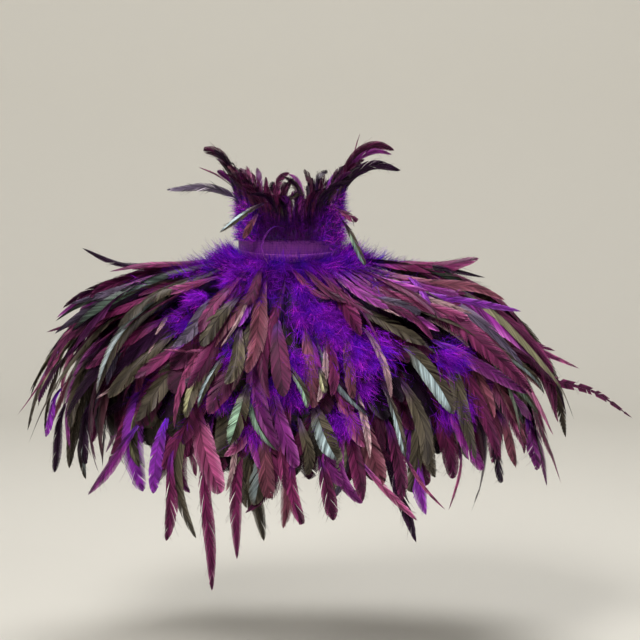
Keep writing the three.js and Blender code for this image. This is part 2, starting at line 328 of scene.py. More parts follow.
def down_material():
    """The dye of each point, matt and soft."""
    material, tree, shader = new_material("feather_down")
    dye = add_node(tree, "ShaderNodeVertexColor", layer_name="dye")
    tree.links.new(dye.outputs["Color"], shader.inputs["Base Color"])
    set_inputs(shader, {"Roughness": 0.85, "Specular IOR Level": 0.06})
    set_inputs(shader, {"Sheen Weight": 0.2, "Sheen Tint": DOWN_SHEEN})
    return material


DOWN = down_material()
print("made", DOWN.name)


# %% Cloth materials
def woven_material(name, dark, light, threads, streak):
    """Plain weave on a UV map in metres: two sets of threads, and faint streaks in the dye."""
    material, tree, shader = new_material(name)
    link = tree.links.new
    flat = add_node(tree, "ShaderNodeUVMap", uv_map="weave").outputs["UV"]
    weave = add_node(tree, "ShaderNodeMath", {1: 0.6}, operation="MULTIPLY_ADD")
    for direction, scale, socket in zip(("X", "Y"), threads, (0, 2)):
        wave = add_node(tree, "ShaderNodeTexWave", wave_type="BANDS", bands_direction=direction)
        set_inputs(wave, {"Scale": scale, "Distortion": 0.6, "Detail": 1.0})
        link(flat, wave.inputs["Vector"])
        link(wave.outputs["Fac"], weave.inputs[socket])
    shade = add_node(tree, "ShaderNodeMath", {1: 0.25}, operation="MULTIPLY_ADD")
    link(weave.outputs["Value"], shade.inputs[0])
    link(drawn_out_noise(tree, flat, streak, 4.0, 0.65), shade.inputs[2])
    dye = colour_between(tree, shade.outputs["Value"], dark, light, 0.4, 0.95)
    link(dye, shader.inputs["Base Color"])
    add_bump(tree, shader, weave.outputs["Value"], 0.5, 0.3 * MM)
    set_inputs(shader, {"Roughness": 0.7, "Sheen Weight": 0.25, "Sheen Roughness": 0.4})
    return material


YOKE_CLOTH = woven_material("yoke_cloth", linear(34, 8, 58), linear(58, 20, 92), (220, 220), (60, 60, 1))
RIBBON = woven_material("ribbon", linear(102, 22, 132), linear(162, 64, 182), (420, 160), (420, 40, 1))
print("made", YOKE_CLOTH.name, RIBBON.name)

# %% [markdown]
# ## The cloth yoke
# The yoke is a flat piece of cloth cut like an open ring and laid on the shoulders. It could be
# draped by simulation, but the rows of feathers sewn to it hold it in one shape, so a grid is simply
# laid on the drape and given a thickness. A UV map in metres keeps the weave at its real scale.

# %% A wall of cloth from a grid
ROOT_BODY = "root"


def add_piece(name, mesh, slot, *nodes):
    """Puts a finished mesh in the scene as a piece that stands for CAD nodes."""
    piece = bpy.data.objects.new(name, mesh)
    bpy.context.scene.collection.objects.link(piece)
    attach(piece, ROOT_BODY)
    if nodes:
        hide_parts(*nodes)
    return piece


def mesh_from(bm, name, material):
    """Makes a mesh of a finished bmesh, with one material."""
    mesh = bpy.data.meshes.new(name)
    bm.to_mesh(mesh)
    bm.free()
    mesh.materials.append(material)
    return mesh


def describe(piece):
    """Prints how many faces a piece has and how large it is."""
    print(piece.name, len(piece.data.polygons), "faces,", np.round(piece.dimensions, 3).tolist(), "m")


def cloth_wall(name, place, columns, rows, size, thickness, material):
    """A grid whose points go where place(share across, share down) says, made into a thin wall."""
    bm = bmesh.new()
    flat = bm.loops.layers.uv.new("weave")
    bmesh.ops.create_grid(bm, x_segments=columns, y_segments=rows, size=0.5)
    for face in bm.faces:
        face.smooth = True
        for loop in face.loops:
            loop[flat].uv = ((loop.vert.co.x + 0.5) * size[0], (0.5 - loop.vert.co.y) * size[1])
    shares = np.array([(v.co.x + 0.5, 0.5 - v.co.y) for v in bm.verts])
    for vert, point in zip(bm.verts, place(shares[:, 0], shares[:, 1])):
        vert.co = point
    bmesh.ops.solidify(bm, geom=bm.faces[:], thickness=thickness)
    bmesh.ops.recalc_face_normals(bm, faces=bm.faces[:])
    return mesh_from(bm, name, material)


print("pieces ride on", ROOT_BODY)

# %% Lay the yoke on the drape
YOKE_WALL = 2 * MM
YOKE_RUN = 3 * ROW_PITCH + 20 * MM
YOKE_FLAT = (0.516, 0.352)


def yoke_place(share, down):
    run = down * YOKE_RUN
    return drape_point(azimuth_at(share, FRONT_GAP, run), run)


yoke_mesh = cloth_wall("yoke_cloth", yoke_place, 128, 40, YOKE_FLAT, YOKE_WALL, YOKE_CLOTH)
yoke = add_piece("yoke_cloth", yoke_mesh, "yoke_cloth", "yoke")
describe(yoke)

# %% [markdown]
# ## The neck band
# A violet ribbon runs round the neck, with its lower edge folded up and stitched down, and its
# end lapped over at the back. The same grid makes it, with the fold and the lap as small steps in
# the surface. The stitches are real pieces: a row of tiny pads, which catch the light as thread does.

# %% The ribbon
BAND_WALL = 1.6 * MM
BAND_TOP = 20 * MM
BAND_HALF_GAP = 1 * MM
SEAM_GAP = 0.4 * MM
FOLD_HEIGHT = 7 * MM
FOLD_THICK = 0.7 * MM
FOLD_STEP = 0.4 * MM
BAND_INSET = 0.3 * MM
LAP_AZIMUTH = np.radians(-92)
LAP_THICK = 0.5 * MM
LAP_STEP = 0.012
LAP_FADE = 1.2
BAND_FLAT = (0.365, 0.0245)


def round_neck(azimuth, step, height):
    """A point near the neck opening's edge, moved out from it by a step, at a given height."""
    depth = np.where(np.sin(azimuth) < 0, DRAPE[0, BACK], DRAPE[0, FORE])
    x = (DRAPE[0, SIDE] + step) * np.cos(azimuth)
    y = (depth + step) * np.sin(azimuth)
    return np.stack(np.broadcast_arrays(x, y, height), axis=-1)


def band_azimuth(share):
    return azimuth_at(share, BAND_HALF_GAP, np.zeros_like(share))


def band_bottom(azimuth):
    """The height of the band's lower edge, just above the yoke's neck edge."""
    return drape_point(azimuth, np.zeros_like(azimuth))[..., 2] + SEAM_GAP


def band_place(share, down):
    azimuth = band_azimuth(share)
    bottom = band_bottom(azimuth)
    height = BAND_TOP + (bottom - BAND_TOP) * down
    above_fold = height - bottom - FOLD_HEIGHT
    fold = FOLD_THICK * np.clip(1 - above_fold / FOLD_STEP, 0, 1)
    past_lap = np.angle(np.exp(1j * (azimuth - LAP_AZIMUTH)))
    lap = LAP_THICK * np.clip(past_lap / LAP_STEP, 0, 1) * np.clip(1 - past_lap / LAP_FADE, 0, 1)
    return round_neck(azimuth, -SEAM_GAP - FOLD_THICK + fold + lap - BAND_INSET, height)


band_mesh = cloth_wall("neck_band", band_place, 240, 60, BAND_FLAT, BAND_WALL, RIBBON)
band = add_piece("neck_band", band_mesh, "band_cloth", "collar_band")
describe(band)

# %% The stitches
STITCH_PITCH = 2.6 * MM
STITCH_LENGTH = 1.9 * MM
STITCH_RADIUS = 0.28 * MM
STITCH_BELOW_FOLD = 0.9 * MM
STITCH_TURN = 0.01


def thread_material():
    material, tree, shader = new_material("thread")
    place = add_node(tree, "ShaderNodeTexCoord").outputs["Object"]
    noise = drawn_out_noise(tree, place, (900, 900, 900), 2.0)
    dye = colour_between(tree, noise, linear(40, 8, 60), linear(78, 28, 104))
    tree.links.new(dye, shader.inputs["Base Color"])
    set_inputs(shader, {"Roughness": 0.55})
    return material


def stitch_line(azimuths):
    """Points just under the fold's upper edge, where the stitches lie."""
    height = band_bottom(azimuths) + FOLD_HEIGHT - STITCH_BELOW_FOLD
    return round_neck(azimuths, -SEAM_GAP - BAND_INSET, height)


def stitch_row(name):
    """A row of small pads, each drawn out along the band."""
    count = int(BAND_FLAT[0] / STITCH_PITCH)
    azimuths = band_azimuth((np.arange(count) + 0.5) / count)
    points = stitch_line(azimuths)
    nexts = stitch_line(azimuths + STITCH_TURN)
    up = np.array([0, 0, 1])
    bm = bmesh.new()
    for point, ahead in zip(points, unit(nexts - points)):
        out = np.array([-ahead[1], ahead[0], 0])
        pad = bmesh.ops.create_icosphere(bm, subdivisions=1, radius=STITCH_RADIUS)
        for vert in pad["verts"]:
            x, y, z = vert.co
            vert.co = point + ahead * (x * STITCH_LENGTH / 2 / STITCH_RADIUS) + out * y + up * z
    for face in bm.faces:
        face.smooth = True
    return mesh_from(bm, name, thread_material())


stitches = add_piece("band_stitches", stitch_row("band_stitches"), "band_cloth")
describe(stitches)

# %% [markdown]
# ## The front clasp
# The front isn't seen in the picture, so its fastening is kept plain: one dark plate that joins the
# band's two ends. It starts as a cube, and its corners and edges are rounded with two bevels.

# %% The clasp plate
CLASP_SIZE = (15 * MM, 1.4 * MM, 14 * MM)
CLASP_CORNER = 3 * MM
CLASP_BORDER = 1.6 * MM
CLASP_STEP = 0.5 * MM
CLASP_SUNK = 0.35 * MM
CLASP_EDGE = 0.3 * MM
SHARP_ANGLE = 0.9


def clasp_material():
    material, tree, shader = new_material("clasp_metal")
    place = add_node(tree, "ShaderNodeTexCoord").outputs["Object"]
    brushed = drawn_out_noise(tree, place, (150, 150, 2500), 3.0)
    colour = colour_between(tree, brushed, linear(30, 27, 34), linear(62, 56, 68))
    tree.links.new(colour, shader.inputs["Base Color"])
    set_inputs(shader, {"Metallic": 0.7, "Roughness": 0.38})
    return material


def round_off(bm, edges, radius, segments):
    """Rounds edges off with a bevel."""
    bmesh.ops.bevel(bm, geom=edges, offset=radius, affect="EDGES", segments=segments,
                    profile=0.5, material=-1)


def clasp_mesh(name):
    """A plate in the middle of the solid clasp's box, with a slightly sunk front."""
    low, high = (np.array(corner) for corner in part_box("front_clasp"))
    bm = bmesh.new()
    bmesh.ops.create_cube(bm, size=1)
    bmesh.ops.scale(bm, vec=CLASP_SIZE, verts=bm.verts[:])
    bmesh.ops.translate(bm, vec=(low + high) / 2, verts=bm.verts[:])
    corners = [e for e in bm.edges if abs(e.verts[0].co.y - e.verts[1].co.y) > MM]
    round_off(bm, corners, CLASP_CORNER, 5)
    front = max(bm.faces, key=lambda f: f.calc_center_median().y)
    bmesh.ops.inset_region(bm, faces=[front], thickness=CLASP_BORDER, depth=0)
    bmesh.ops.inset_region(bm, faces=[front], thickness=CLASP_STEP, depth=-CLASP_SUNK)
    rim = [e for e in bm.edges if e.calc_face_angle(0) > SHARP_ANGLE]
    round_off(bm, rim, CLASP_EDGE, 2)
    return mesh_from(bm, name, clasp_material())


clasp = add_piece("clasp_plate", clasp_mesh("clasp_plate"), "clasp_metal", "front_clasp")
describe(clasp)

# %% [markdown]
# ## A feather
# A feather is a quill with a vane on each side. A vane is made of barbs that slant towards the tip
# and cling together in clumps, with a split where two clumps have come apart. One flat leaf would
# look like paper, and a strand for every barb would be far too heavy. So each vane is a strip of
# cells along the quill: the cells of a clump share their edges, and neighbouring clumps are turned
# and lifted a little, which opens the splits. A few single barbs stand loose past the edges. All the
# feathers of a row are worked out together in arrays and joined in one mesh.

# %% Feather kinds
KINDS = [
    # name, share of the feathers, root, heart, tip, rim and quill colours, roughness; the rim colour is
    # partly a paler edge and partly a painted highlight
    ("plum", 0.26, (74, 6, 100), (84, 24, 60), (60, 16, 46), (140, 58, 106), (170, 96, 138), 0.42),
    ("wine", 0.12, (60, 6, 84), (66, 20, 48), (50, 13, 38), (122, 46, 92), (150, 84, 122), 0.44),
    ("rose", 0.06, (86, 16, 104), (126, 56, 92), (108, 44, 80), (184, 122, 156), (210, 150, 186), 0.44),
    ("magenta", 0.13, (80, 12, 144), (104, 32, 104), (90, 26, 86), (174, 96, 168), (194, 122, 186), 0.46),
    ("violet", 0.045, (84, 14, 166), (112, 36, 142), (104, 32, 124), (164, 96, 196), (176, 120, 204), 0.52),
    ("olive", 0.2, (46, 12, 60), (62, 56, 45), (42, 38, 32), (98, 90, 76), (62, 52, 52), 0.34),
    ("slate", 0.05, (50, 16, 78), (68, 58, 74), (54, 46, 62), (104, 92, 110), (92, 78, 96), 0.42),
    ("black", 0.07, (32, 7, 38), (28, 9, 30), (20, 7, 22), (60, 32, 60), (54, 34, 52), 0.32),
    ("mauve", 0.06, (74, 18, 92), (96, 50, 64), (78, 38, 50), (148, 98, 112), (176, 122, 134), 0.46),
    # pale: partly pale feathers, partly painted highlights placed where a light streak of sheen shows
    ("pale", 0.0, (84, 20, 100), (142, 112, 118), (128, 98, 104), (200, 178, 178), (206, 186, 184), 0.4),
]
KIND_NAMES = [kind[0] for kind in KINDS]
KIND_SHARES = np.array([kind[1] for kind in KINDS])
KIND_COLOURS = np.array([[linear(*c) for c in kind[2:7]] for kind in KINDS])
KIND_MATT = np.array([kind[7] for kind in KINDS])
ROOT, HEART, TIP, RIM_AND_HIGHLIGHT, QUILL = range(5)
DARK_KINDS = np.isin(KIND_NAMES, ("olive", "slate", "black"))
# Colours of painted sheen, which stands in for the light off dark iridescent feathers.
PAINTED_GLINT_NAMES = ["green", "silver", "sand"]
PAINTED_GLINT_COLOURS = np.array([linear(146, 182, 158), linear(156, 176, 182), linear(164, 162, 124)])
print("feather kinds:", KIND_NAMES)

# %% Array helpers for many feathers at once
STATIONS = 26


def smooth_step(low, high, value):
    t = np.clip((value - low) / (high - low), 0, 1)
    return t * t * (3 - 2 * t)


def mixed(start, end, share):
    """Colours part of the way from one to another."""
    return start + (end - start) * share[..., None]


def along_paths(values, share):
    """Values kept at even stations along each feather, read at any share of its length."""
    place = np.maximum(share, 0) * (STATIONS - 1)
    i = np.minimum(place.astype(int), STATIONS - 2)
    w = (place - i)[..., None]
    which = np.arange(len(values)).reshape(-1, *[1] * (share.ndim - 1))
    return values[which, i] * (1 - w) + values[which, i + 1] * w


def joined_mesh(name, points, quads, normals, dye, matt, material, maps):
    """One mesh from arrays of points and quads, with its colours, normals and UV maps."""
    mesh = bpy.data.meshes.new(name)
    mesh.vertices.add(len(points))
    mesh.vertices.foreach_set("co", points.astype(np.float32).ravel())
    mesh.loops.add(quads.size)
    mesh.loops.foreach_set("vertex_index", quads.astype(np.int32).ravel())
    mesh.polygons.add(len(quads))
    mesh.polygons.foreach_set("loop_start", np.arange(0, quads.size, 4, dtype=np.int32))
    mesh.update(calc_edges=True)
    for map_name, uv in maps.items():
        layer = mesh.uv_layers.new(name=map_name)
        layer.uv.foreach_set("vector", uv[quads.ravel()].astype(np.float32).ravel())
    opaque = np.column_stack([dye, np.ones(len(dye))])
    colour = mesh.color_attributes.new("dye", "FLOAT_COLOR", "POINT")
    colour.data.foreach_set("color", opaque.astype(np.float32).ravel())
    rough = mesh.attributes.new("matt", "FLOAT", "POINT")
    rough.data.foreach_set("value", matt.astype(np.float32).ravel())
    mesh.polygons.foreach_set("use_smooth", np.ones(len(quads), dtype=bool))
    mesh.normals_split_custom_set_from_vertices(unit(normals).tolist())
    mesh.materials.append(material)
    return mesh


print("a quill has", STATIONS, "stations")

# %% What the parts of a feather share
WIDE_VANE = 16 * MM
SLENDER = 8
TIP_EASE = 40
STRIP_POINTS = 6
STRIP_QUADS = np.array([[0, 1, 3, 2], [2, 3, 5, 4]])
ATLAS_MARGIN = 0.04
# how many numbers a point, a quad, a normal, a dye, a roughness and each of two UV maps have
PART_SIZES = (3, 4, 3, 3, 1, 2, 2)


def feather_frames(paths, faces, roll, twist):
    """Directions ahead, across and up at each station, turned about the quill by roll and twist."""
    ahead = unit(np.gradient(paths, axis=1))
    across = unit(np.cross(ahead, faces))
    up = np.cross(across, ahead)
    angle = (roll[:, None] + twist[:, None] * np.linspace(0, 1, STATIONS) ** 2)[..., None]
    return ahead, across * np.cos(angle) + up * np.sin(angle), up * np.cos(angle) - across * np.sin(angle)


def lengths_of(paths):
    return np.linalg.norm(np.diff(paths, axis=1), axis=2).sum(axis=1)


def slant_share(width, length):
    """How much of their slant the barbs keep: on wide or short feathers less, or the ends look cut off."""
    return np.minimum(np.minimum(1, WIDE_VANE / width), length / (SLENDER * width))


def ease_tip(share):
    """Shares of a quill's length, eased so that none goes past its tip."""
    return 1 - np.logaddexp(0, (1 - share) * TIP_EASE) / TIP_EASE


def strip_quads(count):
    """The quads of many strips, each with three pairs of points."""
    return (STRIP_QUADS + (np.arange(count) * STRIP_POINTS)[:, None, None]).reshape(-1, 4)


def atlas_uv(count, u, v):
    """Gives each feather a cell of its own in the unit square."""
    side = int(np.ceil(np.sqrt(count)))
    index = np.arange(count).reshape(-1, *[1] * (u.ndim - 1))
    across, down = (ATLAS_MARGIN + (1 - 2 * ATLAS_MARGIN) * part for part in (u, v))
    return np.stack([(index % side + across) / side, (index // side + down) / side], axis=-1)


def flat_parts(*parts):
    """Points, quads, normals, dye, roughness and two UV maps, each as one long list."""
    return [np.reshape(part, (-1, size)) for part, size in zip(parts, PART_SIZES)]


print("the barbs of a 20 mm vane keep", round(float(slant_share(20 * MM, 150 * MM)), 2), "of their slant")

# %% The cells of the vanes
BARB_CELLS = 48
BARB_STEPS = np.array([0, 0.55, 1.0])[None, None, None, None, :]
BARB_END = BARB_STEPS > 0.9
HANDS = np.array([1, -1])[None, :, None, None, None]
CELL_EDGES = np.array([0.5, -0.5])[None, None, None, :, None] / BARB_CELLS
CELL_POINTS = CELL_EDGES.size * BARB_STEPS.size
CELL_QUADS = np.array([[0, 1, 4, 3], [1, 2, 5, 4]])
VANE_START = 0.12
NOTCH_CELLS = 4
OUTLINE_AT = (0, 0.08, 0.2, 0.35, 0.5, 0.65, 0.8, 0.92, 1)
OUTLINE_POINTED = np.array((0.3, 0.52, 0.8, 0.97, 1, 0.88, 0.6, 0.28, 0.02))
OUTLINE_ROUND = np.array((0.28, 0.5, 0.82, 1, 1, 0.95, 0.78, 0.46, 0.06))
CLUMP_TURN, CLUMP_RISE, CLUMP_TONE, CLUMP_LEAN, CLUMP_TIP_UP = 0.3, 0.07, 0.16, 0.16, 0.1
RAGGED = 0.02
VANE_LIFT = 0.1 * MM


def each(values):
    """One number for each feather, shaped to go with its hands, cells, cell edges and barb steps."""
    return values[:, None, None, None, None]


def vane_outline(count, width, shape):
    """How far the barbs of every cell reach out, and where along the vane they start."""
    cells = np.arange(BARB_CELLS)
    line = ((cells[:, None] + np.arange(2)) / BARB_CELLS)[None, None, :, :, None]
    outline = np.interp(line, OUTLINE_AT, OUTLINE_POINTED)
    rounder = np.interp(line, OUTLINE_AT, OUTLINE_ROUND)
    outline = outline + (rounder - outline) * each(shape["round"])
    ragged = 1 + RAGGED * rng.normal(0, 1, (count, 2, BARB_CELLS + 1))
    ragged = np.stack([ragged[..., :-1], ragged[..., 1:]], axis=-1)[..., None]
    whole = (cells % NOTCH_CELLS > 0)[None, None, :, None, None]
    kept = np.where(whole, 1, 1 - each(shape["notch"]))
    half = each(width / 2) * outline * kept * np.where(BARB_END, ragged, 1)
    frayed = line + CELL_EDGES * each(shape["fray"]) * BARB_END
    return half, VANE_START + (1 - VANE_START) * frayed


def vane_places(paths, frames, width, shape):
    """Points and normals of the vanes, their shares of the quill, barb UVs and the clumps' tones."""
    count = len(paths)
    ahead, across, up = frames
    length = lengths_of(paths)
    clump = np.cumsum(rng.random((count, 2, BARB_CELLS)) < shape["split"][:, None, None], axis=2)
    pick = np.indices(clump.shape)[:2]

    def per_clump(scale):
        drawn = rng.normal(0, scale, (count, 2, BARB_CELLS + 1))
        return drawn[pick[0], pick[1], clump][..., None, None]

    turn, rise, tone = per_clump(CLUMP_TURN), per_clump(CLUMP_RISE), per_clump(CLUMP_TONE)
    lean, tip_up = per_clump(CLUMP_LEAN), per_clump(CLUMP_TIP_UP)
    half, root = vane_outline(count, width, shape)
    q = BARB_STEPS
    steep = slant_share(width, length)
    sweep = each(shape["sweep"] * steep) * q ** 1.15 + turn * q * each(steep)
    share = ease_tip(root + half * sweep / each(length))
    out = HANDS * half * q * (1 - 0.15 * np.abs(turn))
    bow = each(shape["cup"]) * (out / each(width / 2)) ** 2 * each(width / 2)
    lift = rise * q * half * 1.5 - bow + VANE_LIFT
    share, out, lift = np.broadcast_arrays(share, out, lift)
    here_up, here_across = along_paths(up, share), along_paths(across, share)
    points = along_paths(paths, share) + here_across * out[..., None] + here_up * lift[..., None]
    tilt = 2 * each(shape["cup"]) * out / each(width / 2) + lean * q * HANDS
    normals = here_up + here_across * tilt[..., None] + along_paths(ahead, share) * (tip_up * q)[..., None]
    over_vane = q * half + each(np.arange(count) * 0.05) + 0.5 * HANDS
    barb = np.stack(np.broadcast_arrays(root * each(length), over_vane), axis=-1)
    return points, normals, share, barb, tone


print("a feather has", 2 * BARB_CELLS, "cells of vane")

# %% The dye of the vanes
ROOT_FADES = (0.16, 0.46)
TIP_STARTS = (0.6, 1.0)
GLINT_COMES, GLINT_GOES = (0.35, 0.6), (0.85, 1.0)
GLINT_AT_RIM = 0.6
RIM_SHEEN_GAIN = 1.05
RIM_HIGHLIGHT_STRENGTH = 0.65
SPECK_COLOUR = linear(196, 186, 198)
SPECK_SHARE = 0.22
PAINTED_HALF_LIGHT = 0.2
CELL_STREAK = 0.14
MATT_WITH_TONE = 0.3


def vane_dye(kind, shape, share, tone):
    """Root, heart, tip and rim colours, the rim partly a paler edge and partly a painted highlight, a
    painted sheen on one vane, one vane painted lighter than the other, specks, and the tone of each cell.
    """
    per_cell = (len(kind), 2, BARB_CELLS)
    colours = KIND_COLOURS[kind][:, :, None, None, None, None, :]
    dye = mixed(colours[:, ROOT], colours[:, HEART], smooth_step(*ROOT_FADES, share))
    dye = mixed(dye, colours[:, TIP], smooth_step(*TIP_STARTS, share))
    # The barbs' ends take the rim colour: partly a paler edge, partly a painted highlight.
    rim = np.where(BARB_END, RIM_HIGHLIGHT_STRENGTH, 0) * each(shape["rim"])
    dye = mixed(dye, colours[:, RIM_AND_HIGHLIGHT], np.broadcast_to(rim, share.shape))
    # Painted sheen on one vane: one of the sheen colours on the dark kinds, a lighter copy of the rim
    # colour on the others.
    pale = RIM_SHEEN_GAIN * KIND_COLOURS[kind, RIM_AND_HIGHLIGHT]
    shine = np.where(DARK_KINDS[kind][:, None], PAINTED_GLINT_COLOURS[shape["shine"]], pale)
    glint = smooth_step(*GLINT_COMES, share) * (1 - smooth_step(*GLINT_GOES, share))
    glint = glint * (HANDS == 1) * each(shape["glint"])
    glint = glint * rng.uniform(0.75, 1.1, per_cell)[..., None, None]
    dye = mixed(dye, shine[:, None, None, None, None, :], glint * np.where(BARB_END, GLINT_AT_RIM, 1))
    specks = (rng.random(per_cell) < SPECK_SHARE)[..., None, None] * each(shape["speck"])
    dye = mixed(dye, SPECK_COLOUR, specks * (BARB_STEPS > 0.3))
    # Painted light and shade: one vane lighter and the other darker, as a feather bent along its quill
    # catches the light on one side.
    halves = 1 + PAINTED_HALF_LIGHT * HANDS * each(shape["lit_half"])
    streak = np.expm1(rng.normal(0, CELL_STREAK, per_cell))[..., None, None]
    streak = streak * smooth_step(0, 0.3, BARB_STEPS)
    return np.clip(dye * (each(shape["tone"]) * (1 + tone + streak) * halves)[..., None], 0, 1)


def grow_vanes(paths, frames, width, kind, shape):
    """The parts of a mesh for the two vanes of every feather."""
    count = len(paths)
    points, normals, share, barb, tone = vane_places(paths, frames, width, shape)
    share = np.clip(share, 0, 1)
    dye = vane_dye(kind, shape, share, tone)
    matt = np.broadcast_to(each(KIND_MATT[kind]) + MATT_WITH_TONE * tone, share.shape)
    first = np.arange(count * 2 * BARB_CELLS).reshape(count, 2, BARB_CELLS) * CELL_POINTS
    quads = first[..., None, None] + CELL_QUADS
    quads = np.where(HANDS == 1, quads, quads[..., ::-1])
    atlas = atlas_uv(count, 0.45 + 0.44 * HANDS * np.broadcast_to(BARB_STEPS, share.shape), share)
    return flat_parts(points, quads, normals, dye, matt, atlas, barb)


print("glints:", PAINTED_GLINT_NAMES)

# %% Quills
QUILL_RINGS = 12
QUILL_ANGLES = np.radians([90, 210, 330])
QUILL_SIDES = len(QUILL_ANGLES)
QUILL_END = 0.99
QUILL_TAPER = 0.86
QUILL_LIFT = 0.35 * MM
QUILL_MATT = 0.4


def grow_quills(paths, frames, kind, shape):
    """The same for the quills: a tapered tube with three sides along every path."""
    count = len(paths)
    _, across, up = frames
    steps = np.linspace(0, QUILL_END, QUILL_RINGS)
    share = np.broadcast_to(steps[None, :, None], (count, QUILL_RINGS, QUILL_SIDES))
    size = shape["quill"][:, None, None] * (1 - QUILL_TAPER * share)
    here_across, here_up = along_paths(across, share), along_paths(up, share)
    spoke = here_across * np.cos(QUILL_ANGLES)[:, None] + here_up * np.sin(QUILL_ANGLES)[:, None]
    points = along_paths(paths, share) + here_up * QUILL_LIFT + spoke * size[..., None]
    colours = KIND_COLOURS[kind]
    shaft = mixed(colours[:, HEART], colours[:, QUILL], shape["shaft"])[:, None, None, :]
    lit = 0.5 + 0.7 * smooth_step(0.05, 0.5, share)
    dye = np.clip(shaft * lit[..., None] * shape["tone"][:, None, None, None], 0, 1)
    ring = np.arange(QUILL_RINGS - 1)[:, None] * QUILL_SIDES
    side = np.arange(QUILL_SIDES)
    after = (side + 1) % QUILL_SIDES
    corners = [ring + side, ring + after, ring + QUILL_SIDES + after, ring + QUILL_SIDES + side]
    first = np.arange(count) * QUILL_RINGS * QUILL_SIDES
    quads = first[:, None, None, None] + np.stack(corners, axis=-1)
    atlas = atlas_uv(count, np.broadcast_to(0.93 + 0.03 * side, share.shape), share)
    barb = np.stack([share * 0.01, share * 0.1], axis=-1)
    return flat_parts(points, quads, spoke, dye, np.full(share.shape, QUILL_MATT), atlas, barb)


print("a quill has", QUILL_RINGS, "rings")

# %% Loose barbs
LOOSE_BARBS = 24
LOOSE_ALONG = (0.08, 0.96)
LOOSE_FROM = 0.7
LOOSE_TO = (1.1, 1.65)
LOOSE_STEPS = np.array([0, 0.5, 1])
LOOSE_RISE = (-0.6 * MM, 1.8 * MM)
LOOSE_LIFT = 0.2 * MM
LOOSE_WIDTH = 0.32 * MM
LOOSE_TAPER = 0.7
LOOSE_MATT = 0.5
LOOSE_ATLAS_U = 0.97
loose_rng = np.random.default_rng(5)


def grow_loose_barbs(paths, frames, width, kind, shape):
    """The same for single barbs that have come loose and stand out past the edges of the vanes."""
    many = (len(paths), LOOSE_BARBS)
    t = LOOSE_STEPS
    _, across, up = frames
    length = lengths_of(paths)
    line = loose_rng.uniform(*LOOSE_ALONG, many)[..., None]
    hand = np.where(loose_rng.random(many) < 0.5, 1, -1)[..., None]
    reach = loose_rng.uniform(*LOOSE_TO, many)[..., None]
    q = LOOSE_FROM + (reach - LOOSE_FROM) * t
    full, length = (values[:, None, None] for values in (width / 2, length))
    half = full * np.interp(line, OUTLINE_AT, OUTLINE_POINTED)
    sweep = shape["sweep"][:, None, None] + loose_rng.normal(0, 0.5, many)[..., None]
    sweep = sweep * slant_share(2 * full, length)
    share = VANE_START + (1 - VANE_START) * line + half * sweep * q / length
    share = np.maximum(ease_tip(share), 0)
    out = hand * half * q * (1 + 0.15 * t)
    bow = shape["cup"][:, None, None] * q ** 2 * half * np.abs(out) / full
    lift = loose_rng.uniform(*LOOSE_RISE, many)[..., None] * t - bow + LOOSE_LIFT
    here_up, here_across = along_paths(up, share), along_paths(across, share)
    centre = along_paths(paths, share) + here_across * out[..., None] + here_up * lift[..., None]
    side = unit(np.cross(here_up, np.gradient(centre, axis=2)))
    side = side * (LOOSE_WIDTH / 2 * (1 - LOOSE_TAPER * t))[:, None]
    points = np.stack([centre - side, centre + side], axis=3)
    colours = KIND_COLOURS[kind][:, :, None, :]
    shade = mixed(colours[:, HEART], colours[:, RIM_AND_HIGHLIGHT], loose_rng.random(many))
    dye = shade * (shape["tone"][:, None] * loose_rng.uniform(0.6, 1.3, many))[..., None]
    dye = np.broadcast_to(np.clip(dye, 0, 1)[:, :, None, None], points.shape)
    normals = np.broadcast_to(here_up[..., None, :], points.shape)
    flat = np.broadcast_to(share[..., None], points.shape[:-1])
    atlas = atlas_uv(len(paths), np.full(flat.shape, LOOSE_ATLAS_U), np.clip(flat, 0, 1))
    barb = np.stack([flat * length[..., None], np.zeros(flat.shape)], axis=-1)
    quads = strip_quads(len(paths) * LOOSE_BARBS)
    return flat_parts(points, quads, normals, dye, np.full(flat.shape, LOOSE_MATT), atlas, barb)


print("a feather has", LOOSE_BARBS, "loose barbs")


# %% Whole feathers
def grow_feathers(name, paths, faces, width, kind, shape):
    """One mesh of feathers along paths, their faces turned to the given directions."""
    frames = feather_frames(paths, faces, shape["roll"], shape["twist"])
    vanes = grow_vanes(paths, frames, width, kind, shape)
    quills = grow_quills(paths, frames, kind, shape)
    loose = grow_loose_barbs(paths, frames, width, kind, shape)
    starts = np.cumsum([0, len(vanes[0]), len(quills[0])])
    points, quads, normals, dye, matt, atlas, barb = zip(vanes, quills, loose)
    quads = [part + start for part, start in zip(quads, starts)]
    joined = [np.concatenate(part) for part in (points, quads, normals, dye, matt)]
    maps = {"OFBake": np.concatenate(atlas), "barb": np.concatenate(barb)}
    return joined_mesh(name, *joined, VANE, maps), frames


def random_shape(count):
    """How each feather differs from its neighbours."""
    return {
        "split": rng.uniform(0.04, 0.22, count),
        "lit_half": rng.uniform(-1, 1, count),
        "fray": 0.6 * rng.random(count) ** 1.5,
        "speck": np.zeros(count),
        "round": rng.random(count) ** 2.8,
        "shine": rng.integers(0, len(PAINTED_GLINT_COLOURS), count),
        "sweep": rng.uniform(1.9, 3.3, count),
        "cup": rng.uniform(0.05, 0.45, count),
        "rim": rng.uniform(0.1, 1, count),
        "glint": np.zeros(count),
        "notch": np.zeros(count),
        "tone": rng.uniform(0.68, 1.3, count),
        "roll": rng.normal(0, 0.25, count),
        "twist": rng.normal(0, 0.45, count),
        "quill": rng.uniform(0.3, 0.55, count) * MM,
        "shaft": rng.random(count) ** 1.6,
    }


def tone_down(shape, **shares):
    """Cuts some of the traits to a share of what was drawn."""
    for trait, share in shares.items():
        shape[trait] *= share


print("feather builder is ready")

